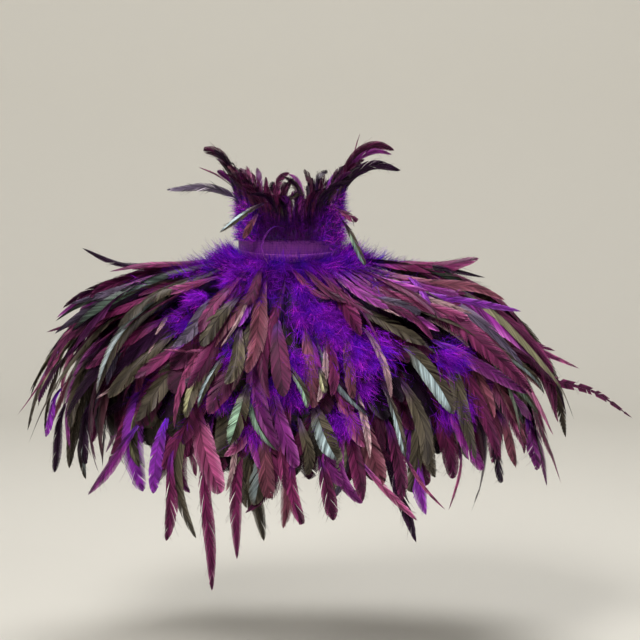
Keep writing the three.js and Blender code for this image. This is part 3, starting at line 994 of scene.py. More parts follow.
# %% [markdown]
# ## Down
# The lower part of each feather is down: fine loose barbs that stand off in all directions and make
# the bright violet fluff between the rows. Strands could be hair particles, but a joined mesh of thin
# strips is the same in every program. Each strip bends as it goes, and its shading normals lean
# towards the layer's own normal, so that a mass of strips shades softly.

# %% Grow down
DOWN_ROOT = linear(98, 5, 176)
DOWN_TIP = linear(172, 34, 246)
DOWN_PLUM = linear(92, 16, 84)
DOWN_BLUE = np.array([0.5, 0.6, 1.15])
DOWN_WARMTH = np.array([1.06, 1.12, 0.98])
PATCHES_IN_METRE = 250
STRAND_STEPS = np.array([0, 0.5, 1.0])[None, :, None]
STRAND_LENGTHS = (13 * MM, 26 * MM)
STRAND_SLANTS = (0.45, 1.25)
STRAND_STANDS = (0.22, 0.4)
SHORTER_TO_TIP = 0.55
STRAND_WIDTH = 0.42 * MM
STRAND_TAPER = 0.75
STRAND_BEND = 0.4
STRAND_WAVE = 0.07
STRAND_MATT = 0.8
OWN_NORMAL, LAYER_NORMAL = 1.1, 0.9
SHADED_PATCH_TONE, PATCH_LIGHT_GAIN = 0.2, 1.05
PALETTE_MARGIN = 0.02


def patches(points):
    """A slow change from place to place, between 0 and 1."""
    x, y, z = np.moveaxis(points * PATCHES_IN_METRE, -1, 0)
    return 0.5 + 0.5 * np.sin(x + 1.7 * np.sin(0.8 * z + 1)) * np.sin(1.3 * z + 1.4 * np.sin(0.7 * x + y))


def down_dye(roots, tone, plum):
    """Violet, brighter to the tip and where the tone is high, which carries the painted shade and light of
    the patches, bluer in some patches, and plum where it is told.
    """
    tone, plum = (values[:, None, None, None] for values in (tone, plum))
    shade = (DOWN_ROOT + (DOWN_TIP - DOWN_ROOT) * STRAND_STEPS)[:, :, None, :]
    bluer = smooth_step(0.4, 0.85, patches(roots * 0.55 + 0.07))[:, None, None, None]
    dye = shade * (0.09 + tone + 0.9 * tone ** 4)
    dye = dye * DOWN_WARMTH ** (2 * tone - 1) * (1 + (DOWN_BLUE - 1) * bluer)
    return np.clip(dye + (DOWN_PLUM * (0.14 + 1.3 * tone) - dye) * plum, 0, 1)


def grow_down(name, roots, heads, outward, length, tone, plum):
    """A mesh of strands: where each starts, where it heads, what lies outward, its length and dye."""
    # Painted light and shade: the tone rises and falls in slow patches, for shaded gaps and lit tufts in
    # the down.
    tone = tone * (SHADED_PATCH_TONE + PATCH_LIGHT_GAIN * patches(roots))
    count = len(roots)
    t = STRAND_STEPS
    bend = unit(rng.normal(0, 1, (count, 3)) + outward * 0.4)[:, None, :] * STRAND_BEND
    wave = unit(rng.normal(0, 1, (count, 3)))[:, None, :] * (STRAND_WAVE * np.sin(t * 7))
    centre = roots[:, None, :] + length[:, None, None] * (heads[:, None, :] * t + bend * t ** 2 + wave * t)
    ahead = unit(np.gradient(centre, axis=1))
    across = unit(np.cross(ahead, outward[:, None, :]))
    side = across * (STRAND_WIDTH / 2 * (1 - STRAND_TAPER * t))
    points = np.stack([centre - side, centre + side], axis=2)
    normals = unit(np.cross(across, ahead)) * OWN_NORMAL + outward[:, None, :] * LAYER_NORMAL
    normals = np.repeat(normals[:, :, None, :], 2, axis=2)
    dye = np.broadcast_to(down_dye(roots, tone, plum), points.shape)
    palette = np.stack(np.broadcast_arrays(tone[:, None, None], t), axis=-1)
    palette = PALETTE_MARGIN + (1 - 2 * PALETTE_MARGIN) * np.repeat(palette, 2, axis=2)
    return joined_mesh(name, points.reshape(-1, 3), strip_quads(count), normals.reshape(-1, 3),
                       dye.reshape(-1, 3), np.full(count * STRIP_POINTS, STRAND_MATT), DOWN,
                       {"OFBake": palette.reshape(-1, 2)})


def down_on_feathers(paths, frames, strands, low, high):
    """Strands on the lower part of every feather, slanting out to both sides."""
    count = len(paths) * strands
    share = rng.uniform(low, high, (len(paths), strands))
    root, ahead, across, up = (along_paths(v, share).reshape(count, 3) for v in (paths, *frames))
    slant = rng.uniform(*STRAND_SLANTS, (count, 1))
    hand = np.where(rng.random((count, 1)) < 0.5, 1, -1)
    stand = up * rng.normal(*STRAND_STANDS, (count, 1))
    heads = across * hand * np.cos(slant) + ahead * np.sin(slant) + stand
    fade = 1 - SHORTER_TO_TIP * smooth_step(low, high, share).reshape(count)
    return root, unit(heads), unit(up), rng.uniform(*STRAND_LENGTHS, count) * fade


print("down builder is ready")

# %% [markdown]
# ## The four rows
# Each row is a band of feathers sewn side by side. Their roots keep to the row's line, and each
# feather then strays from it: it drifts, sways, curls at the tip, rolls and twists, and neighbours
# gather in small bunches, so that gaps open between the bunches and show the down of the row below.
# The feathers that catch the eye in the picture are placed one by one, by the pixels where their
# roots and tips are seen. Longer feathers lie over the shoulders, which keeps the hem level.

# %% Paths of feathers
FEATHERS_IN_BUNCH = 5
# one number for each row
DRIFT_IN_ROW = (1, 1, 0.85, 0.65)
LIFT_AT_SIDES = (5, 9, 3, 0)
CURL_AT_LEFT, CURL_AT_RIGHT = (4, 4, -16, -30), (-4, 8, 8, -12)
REACH_AT_LEFT, REACH_AT_RIGHT = (0.28, 0.22, 0.14, 0), (0.26, 0.31, 0.2, 0.04)
# one number for each kind: how much commoner it is at the picture's left or right end
LEFT_TILT = np.array([1.05, 1.05, 0.7, 0.62, 0.83, 1.25, 1.25, 1.1, 0.83, 1])
RIGHT_TILT = np.array([1, 1.1, 1.1, 1.1, 0.5, 1.05, 0.9, 1, 1.5, 1])


def layer_paths(row, azimuth, along, sway, lift, curl):
    """Quills on a row's layer, from root to tip, each end an azimuth and a distance along."""
    s = np.linspace(0, 1, STATIONS)[None, :]
    far = along[:, :1] + (along[:, 1:] - along[:, :1]) * s
    turned = azimuth[:, :1] + (azimuth[:, 1:] - azimuth[:, :1]) * s ** 1.3
    turned = turned + sway[:, None] * np.sin(np.pi * s) * s
    extra = lift[:, None] * smooth_step(0, 0.4, s) + curl[:, None] * s ** 3
    return layer_point(row, turned, far, extra), drape_normal(turned, slope_run(row, far))


def curve_through(knots):
    """A smooth curve through a few points, at even stations."""
    at = np.concatenate([[0], np.cumsum(np.linalg.norm(np.diff(knots, axis=0), axis=1))])
    slopes = np.gradient(knots, at, axis=0)
    where = np.linspace(0, at[-1], STATIONS)
    i = np.clip(np.searchsorted(at, where, "right") - 1, 0, len(at) - 2)
    gap = (at[i + 1] - at[i])[:, None]
    t = (where - at[i])[:, None] / gap
    start, end = knots[i], knots[i + 1]
    leave, arrive = slopes[i] * gap, slopes[i + 1] * gap
    cubic = 2 * start - 2 * end + leave + arrive
    square = 3 * end - 3 * start - 2 * leave - arrive
    return ((cubic * t + square) * t + leave) * t + start


# green, silver and sand are olive feathers with a painted sheen of that colour on one vane.
KIND_OF_NAME = {"green": "olive", "silver": "olive", "sand": "olive", "quill": "rose"}
NAMED_GLINT = 0.72


def named_kinds(names):
    return np.array([KIND_NAMES.index(KIND_OF_NAME.get(name, name)) for name in names])


def named_shape(names):
    """Shapes for feathers placed one by one: calmer ones, with a painted sheen where the name is that of
    one.
    """
    names = np.array(names)
    shape = random_shape(len(names))
    tone_down(shape, roll=0.45, twist=0.45, round=0.45, fray=0.45)
    shape["tone"] = rng.uniform(0.85, 1.22, len(names))
    # Feathers named after a sheen colour get a painted sheen on one vane.
    shape["glint"] = np.where(np.isin(names, PAINTED_GLINT_NAMES), NAMED_GLINT, 0)
    shape["shine"] = np.array([PAINTED_GLINT_NAMES.index(name) if name in PAINTED_GLINT_NAMES else 0 for name in names])
    return shape


def join_groups(groups):
    """Joins groups of feathers, each a list of arrays and a dictionary of shapes."""
    arrays = [np.concatenate(column) for column in zip(*[group[:4] for group in groups])]
    shape = {key: np.concatenate([group[4][key] for group in groups]) for key in groups[0][4]}
    return (*arrays, shape)


print("kinds that stand for names:", KIND_OF_NAME)

# %% Feathers placed one by one
PLACED = [
    # kind, row, pixel of the root, pixel of the tip, width in millimetres
    ("olive", 2, 195, 345, 136, 423, 22),
    ("slate", 0, 212, 300, 174, 350, 17),
    ("rose", 3, 197, 402, 223, 494, 27),
    ("green", 2, 251, 385, 231, 446, 18),
    ("silver", 2, 312, 404, 336, 460, 22),
    ("wine", 0, 276, 322, 285, 399, 21),
    ("magenta", 2, 268, 385, 297, 469, 18),
    ("mauve", 3, 264, 430, 271, 498, 18),
    ("olive", 2, 298, 420, 306, 475, 13),
    ("rose", 2, 331, 378, 362, 448, 18),
    ("mauve", 3, 358, 410, 381, 486, 22),
    ("quill", 3, 355, 463, 415, 520, 8),
    ("silver", 2, 386, 336, 447, 416, 21),
    ("olive", 2, 397, 379, 421, 466, 18),
    ("magenta", 2, 462, 378, 526, 421, 15),
    ("magenta", 2, 526, 415, 531, 470, 17),
    ("mauve", 3, 494, 412, 508, 466, 14),
    ("black", 3, 487, 435, 495, 483, 11),
    ("quill", 3, 397, 454, 441, 509, 4),
    ("quill", 3, 460, 449, 441, 509, 4),
    ("violet", 2, 62, 390, 45, 436, 11),
    ("black", 2, 66, 405, 63, 472, 12),
    ("black", 3, 95, 400, 93, 464, 14),
    ("olive", 2, 98, 350, 76, 430, 16),
    ("olive", 3, 118, 350, 74, 470, 14),
    ("magenta", 3, 142, 428, 91, 495, 14),
    ("violet", 3, 168, 420, 156, 494, 16),
    ("plum", 0, 246, 272, 190, 340, 16),
    ("olive", 0, 238, 300, 205, 350, 18),
    ("sand", 1, 222, 348, 190, 420, 15),
    ("quill", 1, 215, 352, 166, 352, 3),
    ("plum", 1, 185, 345, 140, 380, 15),
    ("olive", 0, 240, 330, 225, 385, 16),
    ("slate", 0, 370, 300, 418, 318, 13),
    ("plum", 0, 420, 300, 470, 330, 14),
    ("olive", 2, 462, 335, 505, 400, 18),
    ("rose", 0, 395, 300, 465, 322, 12),
    ("magenta", 0, 390, 285, 455, 300, 12),
    ("mauve", 1, 470, 340, 540, 395, 15),
    ("wine", 3, 318, 455, 333, 520, 16),
    ("plum", 3, 292, 455, 303, 525, 14),
    ("plum", 3, 172, 450, 170, 540, 14),
    ("violet", 0, 262, 280, 240, 330, 9),
    ("magenta", 1, 310, 338, 322, 400, 14),
    ("mauve", 1, 345, 330, 352, 400, 13),
    ("sand", 1, 318, 368, 324, 395, 9),
    ("plum", 0, 290, 262, 330, 302, 9),
    ("wine", 0, 300, 262, 350, 306, 10),
    ("plum", 0, 311, 263, 372, 320, 10),
    ("magenta", 0, 322, 264, 388, 313, 11),
    ("magenta", 0, 335, 267, 412, 313, 12),
    ("rose", 0, 346, 270, 438, 316, 12),
    ("magenta", 0, 352, 270, 425, 298, 11),
    ("violet", 0, 398, 276, 425, 316, 9),
    ("magenta", 0, 350, 288, 440, 334, 12),
    ("rose", 0, 362, 284, 448, 322, 9),
    ("wine", 0, 340, 280, 420, 326, 10),
    ("plum", 0, 372, 276, 462, 300, 10),
    ("pale", 0, 380, 292, 470, 318, 7),
    ("pale", 0, 330, 276, 402, 320, 6),
    ("olive", 1, 350, 305, 424, 348, 17),
    ("plum", 0, 236, 285, 203, 338, 17),
    ("plum", 0, 222, 278, 160, 300, 11),
    ("plum", 0, 215, 275, 140, 300, 13),
    ("pale", 0, 212, 282, 146, 312, 6),
    ("wine", 0, 262, 270, 248, 310, 13),
    ("magenta", 1, 430, 345, 520, 395, 15),
    ("olive", 1, 430, 320, 500, 372, 17),
    ("mauve", 2, 445, 340, 490, 420, 18),
    ("magenta", 2, 440, 400, 480, 470, 17),
    ("plum", 3, 420, 395, 450, 480, 19),
    ("olive", 1, 180, 330, 110, 400, 18),
    ("plum", 1, 170, 320, 90, 372, 16),
    ("black", 1, 150, 330, 70, 420, 17),
    ("plum", 3, 215, 390, 165, 470, 18),
    ("magenta", 3, 240, 400, 262, 470, 17),
    ("pale", 1, 172, 312, 150, 356, 6),
    ("pale", 2, 176, 350, 101, 400, 6),
    ("silver", 1, 232, 350, 200, 410, 8),
    ("pale", 1, 326, 345, 317, 404, 8),
    ("green", 1, 286, 366, 306, 410, 9),
    ("pale", 1, 364, 330, 390, 400, 8),
    ("silver", 2, 380, 385, 402, 458, 10),
    ("pale", 2, 352, 388, 368, 460, 8),
    ("pale", 1, 452, 338, 530, 376, 7),
    ("pale", 1, 420, 318, 468, 350, 6),
    ("pale", 1, 258, 334, 232, 392, 6),
    ("pale", 0, 255, 290, 222, 350, 4),
    ("pale", 3, 236, 420, 226, 492, 7),
    ("olive", 1, 470, 312, 541, 362, 17),
    ("silver", 1, 476, 350, 545, 393, 8),
    ("mauve", 1, 440, 318, 520, 352, 12),
    ("olive", 2, 470, 345, 522, 408, 17),
    ("plum", 2, 424, 345, 462, 425, 11),
    ("wine", 2, 520, 350, 556, 420, 15),
    ("mauve", 1, 304, 328, 314, 410, 18),
    ("plum", 1, 324, 332, 331, 398, 13),
    ("plum", 3, 345, 425, 362, 502, 17),
    ("wine", 3, 384, 420, 398, 500, 16),
    ("olive", 3, 420, 400, 432, 478, 16),
    ("olive", 1, 264, 300, 232, 372, 17),
]
STRAYS = [
    # kind, row, azimuth, where it leaves the layer, how high above it, width in millimetres,
    # then the pixels and depths that it passes
    ("black", 0, 178, 96, 17, 10, ((112, 262, -10), (80, 247, -12))),
    ("plum", 0, 185, 90, 17, 9, ((108, 272, -40),)),
    ("plum", 0, -14, 70, 17, 16, ((440, 266, -24), (481, 258, -24))),
    ("black", 0, -10, 84, 17, 9, ((487, 278, -12),)),
    ("wine", 2, -3, 66, 0, 12, ((552, 380, -30), (592, 391, -30), (635, 420, -30))),
    ("quill", 1, 186, 110, 0, 5, ((16, 417, -36),)),
    ("plum", 3, -113, 90, 0, 14, ((211, 560, -148), (212, 594, -150))),
    ("plum", 3, -104, 90, 0, 14, ((237, 562, -155),)),
    ("black", 3, -61, 90, 0, 14, ((417, 545, -150),)),
    ("rose", 1, -3, 120, 0, 12, ((582, 370, -20),)),
    ("black", 2, -5, 66, 0, 9, ((550, 372, -28), (561, 394, -27), (567, 419, -25))),
    ("plum", 1, -2, 120, 0, 13, ((558, 352, -15),)),
    ("mauve", 0, -22, 84, 6, 14, ((480, 289, -42), (507, 301, -40))),
    ("violet", 0, -27, 96, 2, 12, ((490, 305, -46), (524, 312, -42))),
    ("slate", 0, -162, 96, 8, 14, ((67, 305, -30),)),
    ("plum", 0, -153, 104, 4, 11, ((44, 333, -30),)),
    ("olive", 1, -2, 112, 0, 14, ((546, 362, -20),)),
    ("plum", 1, -6, 118, 0, 14, ((563, 362, -26),)),
    ("wine", 2, -8, 70, 0, 14, ((543, 368, -32), (554, 392, -30), (555, 420, -30))),
]
NOTCHED_STRAY = 4
STRAY_RISE = np.array([0, 0.5, 1])
BACKWARD = np.array([0, -1.0, 0])
PUFFS = [
    # row, pixel of the middle, size in millimetres: places where feathers part and the down shows
    (1, 318, 312, 32), (1, 300, 362, 17), (1, 362, 350, 24), (2, 355, 385, 15), (2, 268, 388, 16),
    (1, 236, 352, 14), (2, 222, 395, 11), (1, 186, 320, 13), (0, 200, 298, 11), (0, 148, 288, 10),
    (1, 450, 355, 15), (2, 455, 405, 15), (2, 342, 418, 14), (3, 252, 430, 12), (1, 335, 335, 15),
    (2, 300, 392, 11), (0, 238, 276, 13), (0, 303, 290, 13),
]
PUFF_PLACES = np.array([find_on_layer(row, x, y) for row, x, y, _ in PUFFS])
PUFF_ROWS = np.array([puff[0] for puff in PUFFS])
PUFF_SIZES = np.array([puff[3] for puff in PUFFS]) * MM
PUFF_CENTRES = np.array([layer_point(r, a, d) for r, (a, d) in zip(PUFF_ROWS, PUFF_PLACES)])
print(len(PLACED), "feathers placed by hand,", len(STRAYS), "strays,", len(PUFFS), "puffs")

# %% Feathers that would hide the placed ones
SHOWING = np.linspace(0.3, 1, 8)[:, None]
FIRST_SEEN_STATION = 4
PIXEL_SIZE = 1.14 * MM
MARKS_HIDDEN = 2
GIVE_WAY = 0.85
BROAD = 19


def hides_placed(row, paths, faces, widths):
    """Which feathers of a row hide one placed in a lower row, or a broad one placed in the same row."""
    seen = in_picture(paths[:, FIRST_SEEN_STATION:])
    middle = STATIONS // 2
    facing = (faces[:, middle] * (EYE - paths[:, middle])).sum(axis=-1) > 0
    chance = np.zeros(len(paths))
    for name, placed_row, *ends, placed_width in PLACED:
        broad = placed_width > BROAD
        if placed_row > row or (placed_row == row and broad):
            root, tip = np.array(ends[:2]), np.array(ends[2:])
            marks = root + (tip - root) * SHOWING
            gaps = np.linalg.norm(seen[:, None] - marks[None, :, None], axis=-1).min(axis=2)
            hidden = (gaps < widths[:, None] / 2 / PIXEL_SIZE + 1).sum(axis=1)
            hides = hidden >= (1 if broad else MARKS_HIDDEN)
            give_way = 1 if broad or name in PAINTED_GLINT_NAMES else GIVE_WAY
            chance = np.where(hides, np.maximum(chance, give_way), chance)
    return facing & (rng.random(len(paths)) < chance)


print("sewn feathers give way on", len(SHOWING), "marks")

# %% Feathers that fill a row
FRONT_EDGE_SHARE = 0.06
FRONT_EDGE_LEAST = 0.3
LONE_SHARE, LONE_DRIFT = 0.12, 1.7
# how far the roots lie from even places, then how the other values are spread; lift and curl in millimetres
SEWN_JITTER, SEWN_EDGE = 0.8, 0.008
REACH_SPREAD, REACH_LIMITS = (-0.1, 0.19), (-0.5, 0.25)
BUNCH_PULL, DRIFT_SPREAD = 0.5, 0.16
SWAY_SPREAD = 0.11
LIFT_RANGE = (-4, 5)
CURL_SPREAD = (1, 7)
GLINT_RANGE = (0.15, 0.65)
WIDTH_RANGE = (0.55, 1.35)
UNDER_JITTER, UNDER_EDGE = 0.3, 0.012
UNDER_REACH = (0.5, 0.82)
UNDER_LIFT = (-7, -4)
UNDER_WIDTH = (1.5, 2)
CALM_SWAY = 0.03
FIRST_OVER_PUFF = 7
BIG_PUFF = 15.5 * MM
BIG_PUFF_CLEAR, PUFF_CLEAR = 0.62, 0.45
OLIVE_GLINTS, OTHER_GLINTS = 0.4, 0.3
UNDER_KINDS = ("plum", "black", "olive")
UNDER_SHARES = (0.5, 0.3, 0.2)


def side_habits(row, to_right):
    """How much longer the feathers are over the shoulders, and how far their tips curl there."""
    reach = np.where(to_right > 0, REACH_AT_RIGHT[row], REACH_AT_LEFT[row])
    curl = np.where(to_right > 0, CURL_AT_RIGHT[row], CURL_AT_LEFT[row])
    return reach * to_right ** 2, curl * to_right ** 2


def to_right_at(share):
    """How far to the right a place of the neck edge lies: 1 at the right end, -1 at the left."""
    return np.cos(azimuth_at(share, FRONT_GAP, np.zeros(len(share))))


def row_ends(row, share, reach):
    """Azimuths of roots and tips, and their distances along the layer, for feathers that hang straight."""
    near = slope_run(row, 0)
    roots = azimuth_at(share, FRONT_GAP, np.full(len(share), near))
    tips = azimuth_at(share, FRONT_GAP, near + reach)
    return np.stack([roots, tips], axis=1), np.stack([np.zeros(len(share)), reach], axis=1)


def clear_of_puffs(row, paths):
    """Which feathers leave the puffs of this row and the lower ones open to view."""
    gaps = np.linalg.norm(paths[:, FIRST_OVER_PUFF:, None] - PUFF_CENTRES[None, None], axis=3).min(axis=1)
    needed = PUFF_SIZES * np.where(PUFF_SIZES > BIG_PUFF, BIG_PUFF_CLEAR, PUFF_CLEAR)
    return ((gaps > needed) | (PUFF_ROWS < row)).all(axis=1)


def kinds_by_side(to_right):
    """Random kinds, with the shares that the picture shows towards each side."""
    tilt = np.where(to_right[:, None] > 0, RIGHT_TILT, LEFT_TILT)
    chance = KIND_SHARES * tilt ** np.abs(to_right[:, None])
    chance = np.cumsum(chance / chance.sum(axis=1, keepdims=True), axis=1)
    return np.minimum((rng.random((len(to_right), 1)) > chance).sum(axis=1), len(KINDS) - 1)


def shares_round(count, jitter, edge):
    """Places round the neck for the roots of a row: nearly even, and none right at the front edges."""
    even = np.arange(count) + 0.5
    return np.clip((even + rng.uniform(-jitter, jitter, count)) / count, edge, 1 - edge)


def sewn_group(row, count, length, width):
    """The feathers that fill a row."""
    share = shares_round(count, SEWN_JITTER, SEWN_EDGE)
    to_right = to_right_at(share)
    sideways = to_right ** 2
    reach_more, curl_more = side_habits(row, to_right)
    reach = length * (1 + reach_more + np.clip(rng.normal(*REACH_SPREAD, count), *REACH_LIMITS))
    middle = (np.floor(np.arange(count) / FEATHERS_IN_BUNCH) + 0.5) * FEATHERS_IN_BUNCH / count
    from_edge = np.clip(np.minimum(share, 1 - share) / FRONT_EDGE_SHARE, FRONT_EDGE_LEAST, 1)
    drift = BUNCH_PULL * (middle - share) * 2 * np.pi + rng.normal(0, DRIFT_SPREAD, count)
    drift = drift * np.where(rng.random(count) < LONE_SHARE, LONE_DRIFT, 1) * DRIFT_IN_ROW[row]
    azimuth, along = row_ends(row, share, reach)
    azimuth[:, 1] += drift * from_edge
    sway = rng.normal(0, SWAY_SPREAD, count) * from_edge
    lift = rng.uniform(*LIFT_RANGE, count) + LIFT_AT_SIDES[row] * sideways * (1.2 + 0.6 * to_right)
    curl = rng.normal(*CURL_SPREAD, count) + curl_more
    paths, faces = layer_paths(row, azimuth, along, sway, lift * MM, curl * MM)
    kind = kinds_by_side(to_right)
    shape = random_shape(count)
    # Some sewn feathers get a painted sheen on one vane, olive ones more often.
    glinting = np.where(kind == KIND_NAMES.index("olive"), OLIVE_GLINTS, OTHER_GLINTS)
    shape["glint"] = np.where(rng.random(count) < glinting, rng.uniform(*GLINT_RANGE, count), 0)
    shape["roll"] *= 1 + 1.2 * sideways
    widths = width * rng.uniform(*WIDTH_RANGE, count)
    kept = clear_of_puffs(row, paths) & ~hides_placed(row, paths, faces, widths)
    shape = {key: values[kept] for key, values in shape.items()}
    return paths[kept], faces[kept], widths[kept], kind[kept], shape


def under_group(row, count, length, width):
    """Plain dark feathers that lie flat under the others and close the row, their tone cut further as
    painted shade.
    """
    share = shares_round(count, UNDER_JITTER, UNDER_EDGE)
    reach_more, curl_more = side_habits(row, to_right_at(share))
    reach = length * rng.uniform(*UNDER_REACH, count) * (1 + reach_more)
    azimuth, along = row_ends(row, share, reach)
    sway = rng.normal(0, CALM_SWAY, count)
    lift = rng.uniform(*UNDER_LIFT, count)
    paths, faces = layer_paths(row, azimuth, along, sway, lift * MM, curl_more * MM)
    kind = rng.choice(named_kinds(UNDER_KINDS), count, p=UNDER_SHARES)
    shape = random_shape(count)
    # The lower tone is painted shade under the upper feathers.
    tone_down(shape, tone=0.55, round=0.25, split=0.4, roll=0.3, twist=0.3)
    return paths, faces, width * rng.uniform(*UNDER_WIDTH, count), kind, shape


print("bunches of", FEATHERS_IN_BUNCH)

# %% Groups of feathers that are placed
HIDDEN_ROOT = 0.2
NEAREST_ROOT = 2 * MM
PLACED_LIFT, GLINT_LIFT = (4, 8), 5
PLACED_CURL = (-2, 5)
NOTCH_DEPTH = 0.62
NOTCHED_SWEEP = 0.7


def placed_group(row):
    """The feathers that are placed one by one."""
    chosen = [p for p in PLACED if p[1] == row]
    count = len(chosen)
    names = [p[0] for p in chosen]
    widths = np.array([p[6] for p in chosen]) * MM
    ends = np.array([(find_on_layer(row, *p[2:4]), find_on_layer(row, *p[4:6])) for p in chosen])
    azimuth, along = ends[..., 0], ends[..., 1]
    along[:, 0] = np.maximum(along[:, 0] - HIDDEN_ROOT * (along[:, 1] - along[:, 0]), NEAREST_ROOT)
    lift = rng.uniform(*PLACED_LIFT, count) + GLINT_LIFT * np.isin(names, PAINTED_GLINT_NAMES)
    sway = rng.normal(0, CALM_SWAY, count)
    curl = rng.uniform(*PLACED_CURL, count)
    paths, faces = layer_paths(row, azimuth, along, sway, lift * MM, curl * MM)
    faces = faces + BACKWARD * np.cos(azimuth[:, :1, None]) ** 2
    return paths, faces, widths, named_kinds(names), named_shape(names)


def stray_group(row):
    """The loose feathers that leave the row's layer."""
    chosen = [s for s in STRAYS if s[1] == row]
    names = [s[0] for s in chosen]
    widths = np.array([s[5] for s in chosen]) * MM
    paths, faces = [], []
    for _, _, azimuth, leaves, rise, _, passes in chosen:
        turned = np.full(STATIONS, np.radians(azimuth))
        along = np.array([0, leaves / 2, leaves]) * MM
        on_layer = layer_point(row, turned[:3], along, rise * STRAY_RISE * MM)
        paths.append(curve_through(np.vstack([on_layer, [sight_point(*place) for place in passes]])))
        run = slope_run(row, np.linspace(0, leaves * MM, STATIONS))
        faces.append(drape_normal(turned, run) + BACKWARD)
    shape = named_shape(names)
    notched = np.array([s is STRAYS[NOTCHED_STRAY] for s in chosen])
    shape["notch"] = np.where(notched, NOTCH_DEPTH, 0)
    shape["sweep"] = np.where(notched, NOTCHED_SWEEP, shape["sweep"])
    shape["fray"] = np.where(notched, 0, shape["fray"])
    return np.array(paths), np.array(faces), widths, named_kinds(names), shape


print("rows of the strays:", [s[1] for s in STRAYS])

# %% Puffs and ruff of down
STRANDS_PER_AREA = 4.6 / MM ** 2
PUFF_RADIUS = 125 * MM
PUFF_SPREAD = 0.42
PUFF_LIT = 1.1
BAND_WISPS = 1500
WISPS_LIT = 0.7
RUFF_STRANDS = 16000
RUFF_BARE_AT = 288
RUFF_BARE_WIDTH = 17
RUFF_THICK, RUFF_THINNED = 0.95, 0.45
# how far the ruff goes down the slope, and how much farther at the left, in millimetres
RUFF_RUN, RUFF_RUN_AT_LEFT = 30, 14
RUFF_LEANS = (0.5, 1.2)
RUFF_SPREAD = 0.3
RUFF_MIDDLE = 2 * MM
RUFF_LIGHTENS = (8 * MM, 45 * MM)
RUFF_LIT_MIDDLE, RUFF_LIT_MORE = 0.6, 0.72


def puff_strands(row):
    """Strands for the puffs of a row: where they start and head, what lies outward, how lit they are."""
    roots, heads, outs = [], [], []
    for (azimuth, along), size in zip(PUFF_PLACES[PUFF_ROWS == row], PUFF_SIZES[PUFF_ROWS == row]):
        count = int(STRANDS_PER_AREA * size ** 2)
        far = np.abs(along + rng.normal(0, size * PUFF_SPREAD, count))
        turned = azimuth + rng.normal(0, size * PUFF_SPREAD, count) / PUFF_RADIUS
        extra = rng.uniform(-3, 4, count) * MM
        outward = drape_normal(turned, slope_run(row, far))
        start = layer_point(row, turned, far, extra)
        down = unit(layer_point(row, turned, far + MM, extra) - start)
        roots.append(start)
        heads.append(unit(rng.normal(0, 0.42, (count, 3)) + outward * 0.3 + down * 1.1))
        outs.append(outward)
    places = [np.concatenate(part) for part in (roots, heads, outs)]
    return (*places, np.full(len(places[0]), PUFF_LIT))


def level_outward(azimuth):
    """The level direction away from the neck."""
    return np.stack([np.cos(azimuth), np.sin(azimuth), np.zeros_like(azimuth)], axis=-1)


def band_wisps():
    """The same for strands that stand up over the band's lower edge."""
    count = BAND_WISPS
    azimuth = azimuth_at(rng.random(count), FRONT_GAP, np.zeros(count))
    outward = level_outward(azimuth)
    step = rng.uniform(0.5, 4, count) * MM
    roots = round_neck(azimuth, step, band_bottom(azimuth) - rng.uniform(0, 2, count) * MM)
    stand_off = outward * rng.uniform(0, 0.7, (count, 1))
    heads = unit(stand_off + rng.normal(0, 0.45, (count, 3)) + np.array([0, 0, 0.6]))
    return roots, heads, outward, np.full(count, WISPS_LIT)


def ruff_strands():
    """The same for the thick ruff that lies round the neck band, thinner at one place near the back."""
    azimuth = azimuth_at(rng.random(RUFF_STRANDS), FRONT_GAP, np.zeros(RUFF_STRANDS))
    from_bare = (np.degrees(azimuth) - RUFF_BARE_AT) / RUFF_BARE_WIDTH
    thick = RUFF_THICK - RUFF_THINNED * np.exp(-from_bare ** 2)
    azimuth = azimuth[rng.random(RUFF_STRANDS) < thick]
    count = len(azimuth)
    sideways = np.cos(azimuth)[:, None] ** 2
    farthest = RUFF_RUN + RUFF_RUN_AT_LEFT * (np.cos(azimuth) < -0.1)
    run = (1 + rng.random(count) ** 1.3 * farthest) * MM
    outward = drape_normal(azimuth, run)
    down = unit(drape_point(azimuth, run + MM) - drape_point(azimuth, run))
    roots = drape_point(azimuth, run) + outward * rng.uniform(1, 3 + 6 * sideways, (count, 1)) * MM
    lean = down * rng.uniform(*RUFF_LEANS, (count, 1)) * (1.2 - sideways)
    heads = unit(outward * (0.25 + 0.4 * sideways) + lean + rng.normal(0, RUFF_SPREAD, (count, 3)))
    # Painted shade: the ruff is darker near the middle of the back and front, and lighter towards the
    # sides.
    lit = RUFF_LIT_MIDDLE + RUFF_LIT_MORE * smooth_step(*RUFF_LIGHTENS, np.abs(roots[:, 0] - RUFF_MIDDLE))
    return roots, heads, outward, lit


print("the ruff has up to", RUFF_STRANDS, "strands")

# %% Lay the rows
ROWS = [
    # node, feathers, length, width, feathers under them, down strands on each
    ("feather_row_1", 116, 150 * MM, 18 * MM, 0, 150),
    ("feather_row_2", 150, 153 * MM, 20 * MM, 48, 100),
    ("feather_row_3", 160, 150 * MM, 20 * MM, 68, 80),
    ("feather_row_4", 130, 130 * MM, 19 * MM, 96, 60),
]
DOWN_PART = (0.01, 0.42)
PLUM_ON_FEATHERS, PLUM_IN_PUFFS = 0.5, 0.25
# lengths in millimetres, and tones, of the strands in puffs and ruff
PUFF_LENGTHS, PUFF_TONES = (9, 18), (0.35, 1.1)
DEPTH_HELD = 158 * MM
DEPTH_GIVE = 10 * MM


def hold_within(values, limit, give):
    """Values eased back where they pass a limit on either side, so that they go past it only a little."""
    past = np.maximum(np.abs(values) - limit, 0)
    return np.sign(values) * (np.minimum(np.abs(values), limit) + give * np.tanh(past / give))


